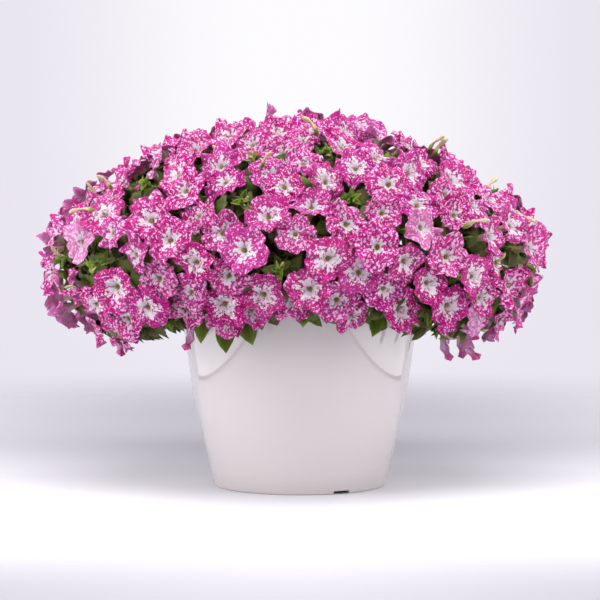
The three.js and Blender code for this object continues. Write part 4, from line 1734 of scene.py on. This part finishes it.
def inner_leaves(leaves, count):
    """Dark leaves that fill the dome below the blooms, painted darker the deeper they lie."""
    angles = angles_by_area([(i + 0.5) / count for i in range(count)])
    for i, angle in enumerate(angles):
        azimuth = i * GOLDEN_ANGLE + 1.0
        radius, height = dome_profile(angle, azimuth)
        depth = between(0.024, 0.082, i, 700)
        outward = direction(azimuth, math.atan2(height, radius))
        place = outward * (math.hypot(radius, height) - depth)
        turn = between(0, 2 * math.pi, i, 701)
        tilt = math.radians(between(48, 92, i, 702))
        length = between(0.022, 0.036, i, 703)
        roll = between(-0.7, 0.7, i, 704)
        # Painted shade: the deeper the leaf lies in the dome, the darker it is painted.
        shade = smooth_step(0.018, 0.056, depth) * 0.9
        look = (chance(i, 705), between(0.6, 1.0, i, 706), float(shade))
        name = plant_at(azimuth)
        shape = FINE_LEAVES + i % 2
        blade = length * INNER_LEAF_WIDTH
        add_leaf(leaves[name], place, outward, turn, tilt, length, blade, shape, look, roll)


SKIRT_COUNT = 30
LEAF_TIPS = [
    (-0.123, -0.160, 0.192),
    (-0.089, -0.175, 0.180),
    (-0.058, -0.190, 0.192),
    (0.087, -0.180, 0.200),
    (0.004, -0.200, 0.214),
    (-0.225, -0.130, 0.196),
    (0.235, -0.130, 0.220),
    (0.290, -0.060, 0.250),
    (0.160, 0.060, 0.205),
    (-0.170, 0.080, 0.198),
    (0.060, 0.185, 0.208),
    (-0.050, 0.180, 0.196),
]


def skirt_leaves(leaves):
    """Leaves that hang from the lowest blooms over the pot."""
    for i in range(SKIRT_COUNT):
        azimuth = 2 * math.pi * (i + between(0, 0.8, i, 720)) / SKIRT_COUNT
        radius, height = dome_profile(DOME["lowest"] + between(-0.1, 0.35, i, 721), azimuth)
        outward = direction(azimuth, -0.6)
        flat = direction(azimuth, 0.0)
        place = flat * (radius - 0.020) + [0, 0, height + 0.026]
        tilt = math.radians(between(20, 60, i, 722))
        length = between(0.020, 0.030, i, 723)
        look = (chance(i, 724), between(0.1, 0.8, i, 725), 0.0)
        turn = between(-1.0, 1.0, i, 726) - math.pi / 2
        shape = i % FINE_LEAVES
        name = plant_at(azimuth)
        add_leaf(leaves[name], place, outward, turn, tilt, length, length * 0.5, shape, look)


def hanging_leaves(leaves):
    """Single leaves that hang over the pot, with their tips where the front view has them."""
    for i, tip in enumerate(LEAF_TIPS):
        tip = np.array(tip) - DOME_CENTRE
        azimuth = math.atan2(tip[1], tip[0])
        aside = direction(azimuth + math.pi / 2, 0.0)
        along = unit(direction(azimuth, -1.0) + 0.25 * aside * (i % 3 - 1))
        length = between(0.034, 0.042, i, 740)
        look = (chance(i, 741), between(0.2, 0.6, i, 742), 0.0)
        start = tip - along * length
        over = direction(azimuth, between(0.1, 0.5, i, 743))
        size = (length, length * HANGING_LEAF_WIDTH, length)
        leaves[plant_at(azimuth)].add(DOME_CENTRE + start, along, over, size, i % 2 * 2, look)


class PETUNIA_OT_leaves(bpy.types.Operator):
    """Grow the leaves of the shoots, the dome's inside and its skirt"""

    bl_idname = "petunia.leaves"
    bl_label = "Leaves"

    def execute(self, context):
        settings = context.scene.petunia_leaves
        material = leaf_material(settings)
        leaves = {name: Scatter() for name in PLANTS}
        for name, bunches in PETUNIA.own.items():
            for bunch in bunches:
                shoot_leaves(leaves[name], bunch)
        inner_leaves(leaves, settings.inner_count)
        skirt_leaves(leaves)
        hanging_leaves(leaves)
        shapes = shape_collection("leaf", leaf_shapes())
        tree = scatter_tree()
        for name, rows in leaves.items():
            place_piece(rows.make(f"{name}_leaves", shapes, material, tree), "foliage")
        return {"FINISHED"}


def stem_paths(name, bunches):
    """Paths and radii of a plant's crown, stems, shoots and flower stalks."""
    foot = crown_place(name) + [0, 0, SOIL_TOP - CROWN["depth"] + FIT]
    top = crown_place(name) + [0, 0, CROWN["top"] + 0.004]
    thick = CROWN["radius"]
    paths = [(np.linspace(foot, top, 6), np.linspace(thick, thick * 0.75, 6))]
    for bunch in bunches:
        line = bezier(bunch.path, np.linspace(0, 1, 14)) + DOME_CENTRE
        tip = DOME_CENTRE + bunch.root + bunch.axis * KNOB_HEIGHT / 2
        line = np.vstack([line, tip])
        paths.append((line, np.linspace(STEM["radius"], STEM["radius"] * 0.8, len(line))))
        start = bezier(bunch.path, SHOOT["from"])[0]
        end = shoot_top(bunch) + bunch.shoot.cell * 0.006
        bend = (start + end) / 2 + [0, 0, 0.004]
        bends = np.array([start, bend, end - bunch.shoot.cell * 0.012, end])
        shoot = bezier(bends, np.linspace(0, 1, 8))
        paths.append((shoot + DOME_CENTRE, np.linspace(SHOOT["radius"], 0.0009, 8)))
        for site in bunch.open_blooms():
            line, travelled = tube_line(site, bunch.root)
            ways = np.linspace(TUBE_END - 0.003, travelled[-1], 7)
            stalk = np.array([along_line(line, travelled, way)[0] for way in ways])
            radii = np.full(7, PEDICEL_RADIUS)
            radii[0] = 0.0022
            paths.append((stalk + DOME_CENTRE, radii))
    return paths


def calyx_shape():
    """Five narrow sepals that clasp the tube. X runs towards the limb."""
    points = []
    faces = []
    places = []
    for k in range(5):
        turn = 2 * math.pi * k / 5
        out = np.array([0, math.cos(turn), math.sin(turn)])
        side = np.array([0, -math.sin(turn), math.cos(turn)])
        start = len(points)
        for share, away, width in ((0.0, 0.12, 0.10), (0.35, 0.24, 0.13), (0.75, 0.36, 0.12)):
            centre = np.array([share, 0, 0]) + out * away
            points += [centre - side * width, centre + out * 0.05]
            points += [centre + side * width, centre - out * 0.03]
            places += [[share, -1, 0], [share, 0, 0], [share, 1, 0], [share, 0, 1]]
        points.append(np.array([1.05, 0, 0]) + out * 0.50)
        places.append([1, 0, 0])
        for low in (start, start + 4):
            for i in range(4):
                after = (i + 1) % 4
                faces.append((low + i, low + 4 + i, low + 4 + after, low + after))
        faces += [(start + 8 + i, start + 12, start + 8 + (i + 1) % 4) for i in range(4)]
        faces.append((start, start + 1, start + 2, start + 3))
    return points, faces, places


class PETUNIA_OT_stems(bpy.types.Operator):
    """Run the crowns, stems and flower stalks, and clasp each tube in its calyx"""

    bl_idname = "petunia.stems"
    bl_label = "Stems and calyces"

    def execute(self, context):
        settings = context.scene.petunia_leaves
        stalk_material = stem_material(settings)
        calyx_material = leaf_material(settings)
        calyx_material.name = "calyx_green"
        tree = stem_tree()
        shapes = shape_collection("calyx", [calyx_shape()])
        scatter = scatter_tree()
        down = down_tree()
        down_material = hair_material(settings)
        for seed, (name, bunches) in enumerate(PETUNIA.own.items()):
            curves = curves_object(f"{name}_stems", stem_paths(name, bunches))
            stems = tree.apply_to(curves, {"Sides": 7, "Material": stalk_material})
            base = bpy.data.objects.new(f"{name}_down", stems.data.copy())
            context.scene.collection.objects.link(base)
            hairs = {"Density": 60000.0, "Length": 0.0014, "Seed": seed, "Material": down_material}
            place_piece(down.apply_to(base, hairs), "foliage")
            place_piece(stems, "foliage", f"{name}_greens")
            calyces = Scatter()
            for bunch in bunches:
                for site in bunch.open_blooms():
                    line, travelled = tube_line(site, bunch.root)
                    centre, backward = along_line(line, travelled, TUBE_END)
                    right, _ = frame_around(backward)
                    size = between(0.011, 0.014, site.index, 95)
                    look = (chance(site.index, 96), 0.2, 0.0)
                    place = DOME_CENTRE + centre
                    calyces.add(place, -backward, right, (size, size, size), 0, look)
            piece = calyces.make(f"{name}_calyces", shapes, calyx_material, scatter)
            place_piece(piece, "foliage")
        return {"FINISHED"}


# The stage

FLOOR_RADIUS = 1.9


def area_light(name, place, target, size, power, colour=(1, 1, 1)):
    light = bpy.data.lights.new(name, "AREA")
    light.shape = "RECTANGLE"
    light.size, light.size_y = size
    light.energy = power
    light.color = colour
    obj = bpy.data.objects.new(name, light)
    obj.location = place
    obj.rotation_euler = (Vector(target) - Vector(place)).to_track_quat("-Z", "Y").to_euler()
    obj.visible_camera = False
    bpy.context.scene.collection.objects.link(obj)
    return obj


def panel_rim(name, x, low, high, width):
    """The dark rim of an upright panel, which shows as a line in the pot's lacquer."""
    (y0, z0), (y1, z1) = low, high
    bars = [
        ((y0, z0), (y1, z0 + width)),
        ((y0, z1 - width), (y1, z1)),
        ((y0, z0), (y0 + width, z1)),
        ((y1 - width, z0), (y1, z1)),
    ]
    points = []
    for (a, c), (b, d) in bars:
        points += [(x, a, c), (x, b, c), (x, b, d), (x, a, d)]
    rim = new_mesh_object(name, points, [tuple(range(4 * i, 4 * i + 4)) for i in range(4)])
    shader = Shader("dark_rim", Roughness=0.8)
    grain = shader.noise(shader.object_place(), 200.0)
    shader.paint(shader.blend(grain, (0.03, 0.03, 0.03, 1.0), (0.06, 0.055, 0.06, 1.0)))
    rim.data.materials.append(shader.material)
    rim.visible_camera = False
    rim.visible_diffuse = False
    rim.visible_shadow = False


LIT_MIDDLE = (0.0, 0.0, 0.2)
# Each light: its place, its target, its size and its share of the key power
LIGHTS = {
    "soft_box_left": ((-1.9, -0.9, 0.95), LIT_MIDDLE, (0.9, 1.5), 0.78),
    "soft_box_right": ((1.9, -0.9, 0.95), LIT_MIDDLE, (0.9, 1.5), 0.38),
    "soft_box_top": ((0.0, -1.3, 2.2), LIT_MIDDLE, (2.4, 1.2), 3.0),
    "soft_box_front": ((0.0, -3.0, 1.3), LIT_MIDDLE, (1.8, 1.0), 0.75),
    "floor_light": ((0.0, 0.6, 2.4), (0.0, 1.4, 0.0), (2.2, 0.8), 0.40),
}
RIM_LIGHT_SHARE = 0.8
PANEL = {"x": 0.60, "y": -0.235, "z": 0.40, "size": (1.27, 0.78), "share": 0.080, "spread": 140}
PANEL_RIM = {"x": 0.598, "low": (-0.87, 0.002), "high": (0.40, 0.79), "width": 0.009}
CAMERA_AIM = (0.0, 0.0, 0.236)
FLOOR_SIDES = 96


class PETUNIA_OT_stage(bpy.types.Operator):
    """Set the paper floor, the air, the soft boxes and the camera"""

    bl_idname = "petunia.stage"
    bl_label = "Stage"

    def execute(self, context):
        settings = context.scene.petunia_stage
        scene = context.scene
        turns = [2 * math.pi * i / FLOOR_SIDES for i in range(FLOOR_SIDES)]
        points = [(FLOOR_RADIUS * math.cos(a), FLOOR_RADIUS * math.sin(a), 0.0) for a in turns]
        floor = new_mesh_object("paper_floor", points, [tuple(range(FLOOR_SIDES))])
        floor.data.materials.append(stage_material(settings))

        key = settings.key
        for name, (place, target, size, share) in LIGHTS.items():
            area_light(name, place, target, size, key * share)
        for side, hand in ((-1, "left"), (1, "right")):
            place = (1.3 * side, 1.2, 1.5)
            area_light(f"rim_light_{hand}", place, LIT_MIDDLE, (0.6, 0.9), key * RIM_LIGHT_SHARE)
            name = f"low_panel_{hand}"
            place = (PANEL["x"] * side, PANEL["y"], PANEL["z"])
            target = (0.0, PANEL["y"], PANEL["z"])
            panel = area_light(name, place, target, PANEL["size"], key * PANEL["share"])
            panel.data.spread = math.radians(PANEL["spread"])
            x = PANEL_RIM["x"] * side
            panel_rim(f"{name}_rim", x, PANEL_RIM["low"], PANEL_RIM["high"], PANEL_RIM["width"])

        scene.world = studio_air(settings)
        scene.view_settings.view_transform = "Standard"

        camera = bpy.data.cameras.new("camera")
        camera.lens = settings.lens
        camera.sensor_width = 36.0
        camera.clip_end = 50.0
        eye = bpy.data.objects.new("camera", camera)
        eye.location = (0.0, -settings.camera_distance, settings.camera_height)
        aim = Vector(CAMERA_AIM)
        eye.rotation_euler = (aim - eye.location).to_track_quat("-Z", "Y").to_euler()
        scene.collection.objects.link(eye)
        scene.camera = eye
        return {"FINISHED"}


# The panel and the run

class VIEW3D_PT_petunia(bpy.types.Panel):
    """Lists the petunia's settings and the steps that build it"""

    bl_label = "Potted petunia"
    bl_space_type = "VIEW_3D"
    bl_region_type = "UI"
    bl_category = "Petunia"

    def draw(self, context):
        for operator in OPERATORS:
            self.layout.operator(operator.bl_idname)
        for attribute, group in SETTINGS.items():
            box = self.layout.box()
            box.label(text=group.__doc__)
            for name in group.__annotations__:
                box.prop(getattr(context.scene, attribute), name)


SETTINGS = {
    "petunia_pot": PotSettings,
    "petunia_blooms": BloomSettings,
    "petunia_leaves": LeafSettings,
    "petunia_stage": StageSettings,
}
OPERATORS = [
    PETUNIA_OT_pot,
    PETUNIA_OT_soil,
    PETUNIA_OT_stems,
    PETUNIA_OT_leaves,
    PETUNIA_OT_blooms,
    PETUNIA_OT_details,
    PETUNIA_OT_stage,
]


def register():
    for attribute, group in SETTINGS.items():
        bpy.utils.register_class(group)
        setattr(bpy.types.Scene, attribute, bpy.props.PointerProperty(type=group))
    for kind in [*OPERATORS, VIEW3D_PT_petunia]:
        bpy.utils.register_class(kind)


def unregister():
    for kind in [VIEW3D_PT_petunia, *reversed(OPERATORS)]:
        bpy.utils.unregister_class(kind)
    for attribute, group in SETTINGS.items():
        delattr(bpy.types.Scene, attribute)
        bpy.utils.unregister_class(group)


def main():
    register()
    bpy.ops.petunia.stage()
    bpy.ops.petunia.pot()
    bpy.ops.petunia.soil()
    bpy.ops.petunia.stems()
    bpy.ops.petunia.leaves()
    bpy.ops.petunia.blooms()
    bpy.ops.petunia.details()


if __name__ == "__main__":
    main()
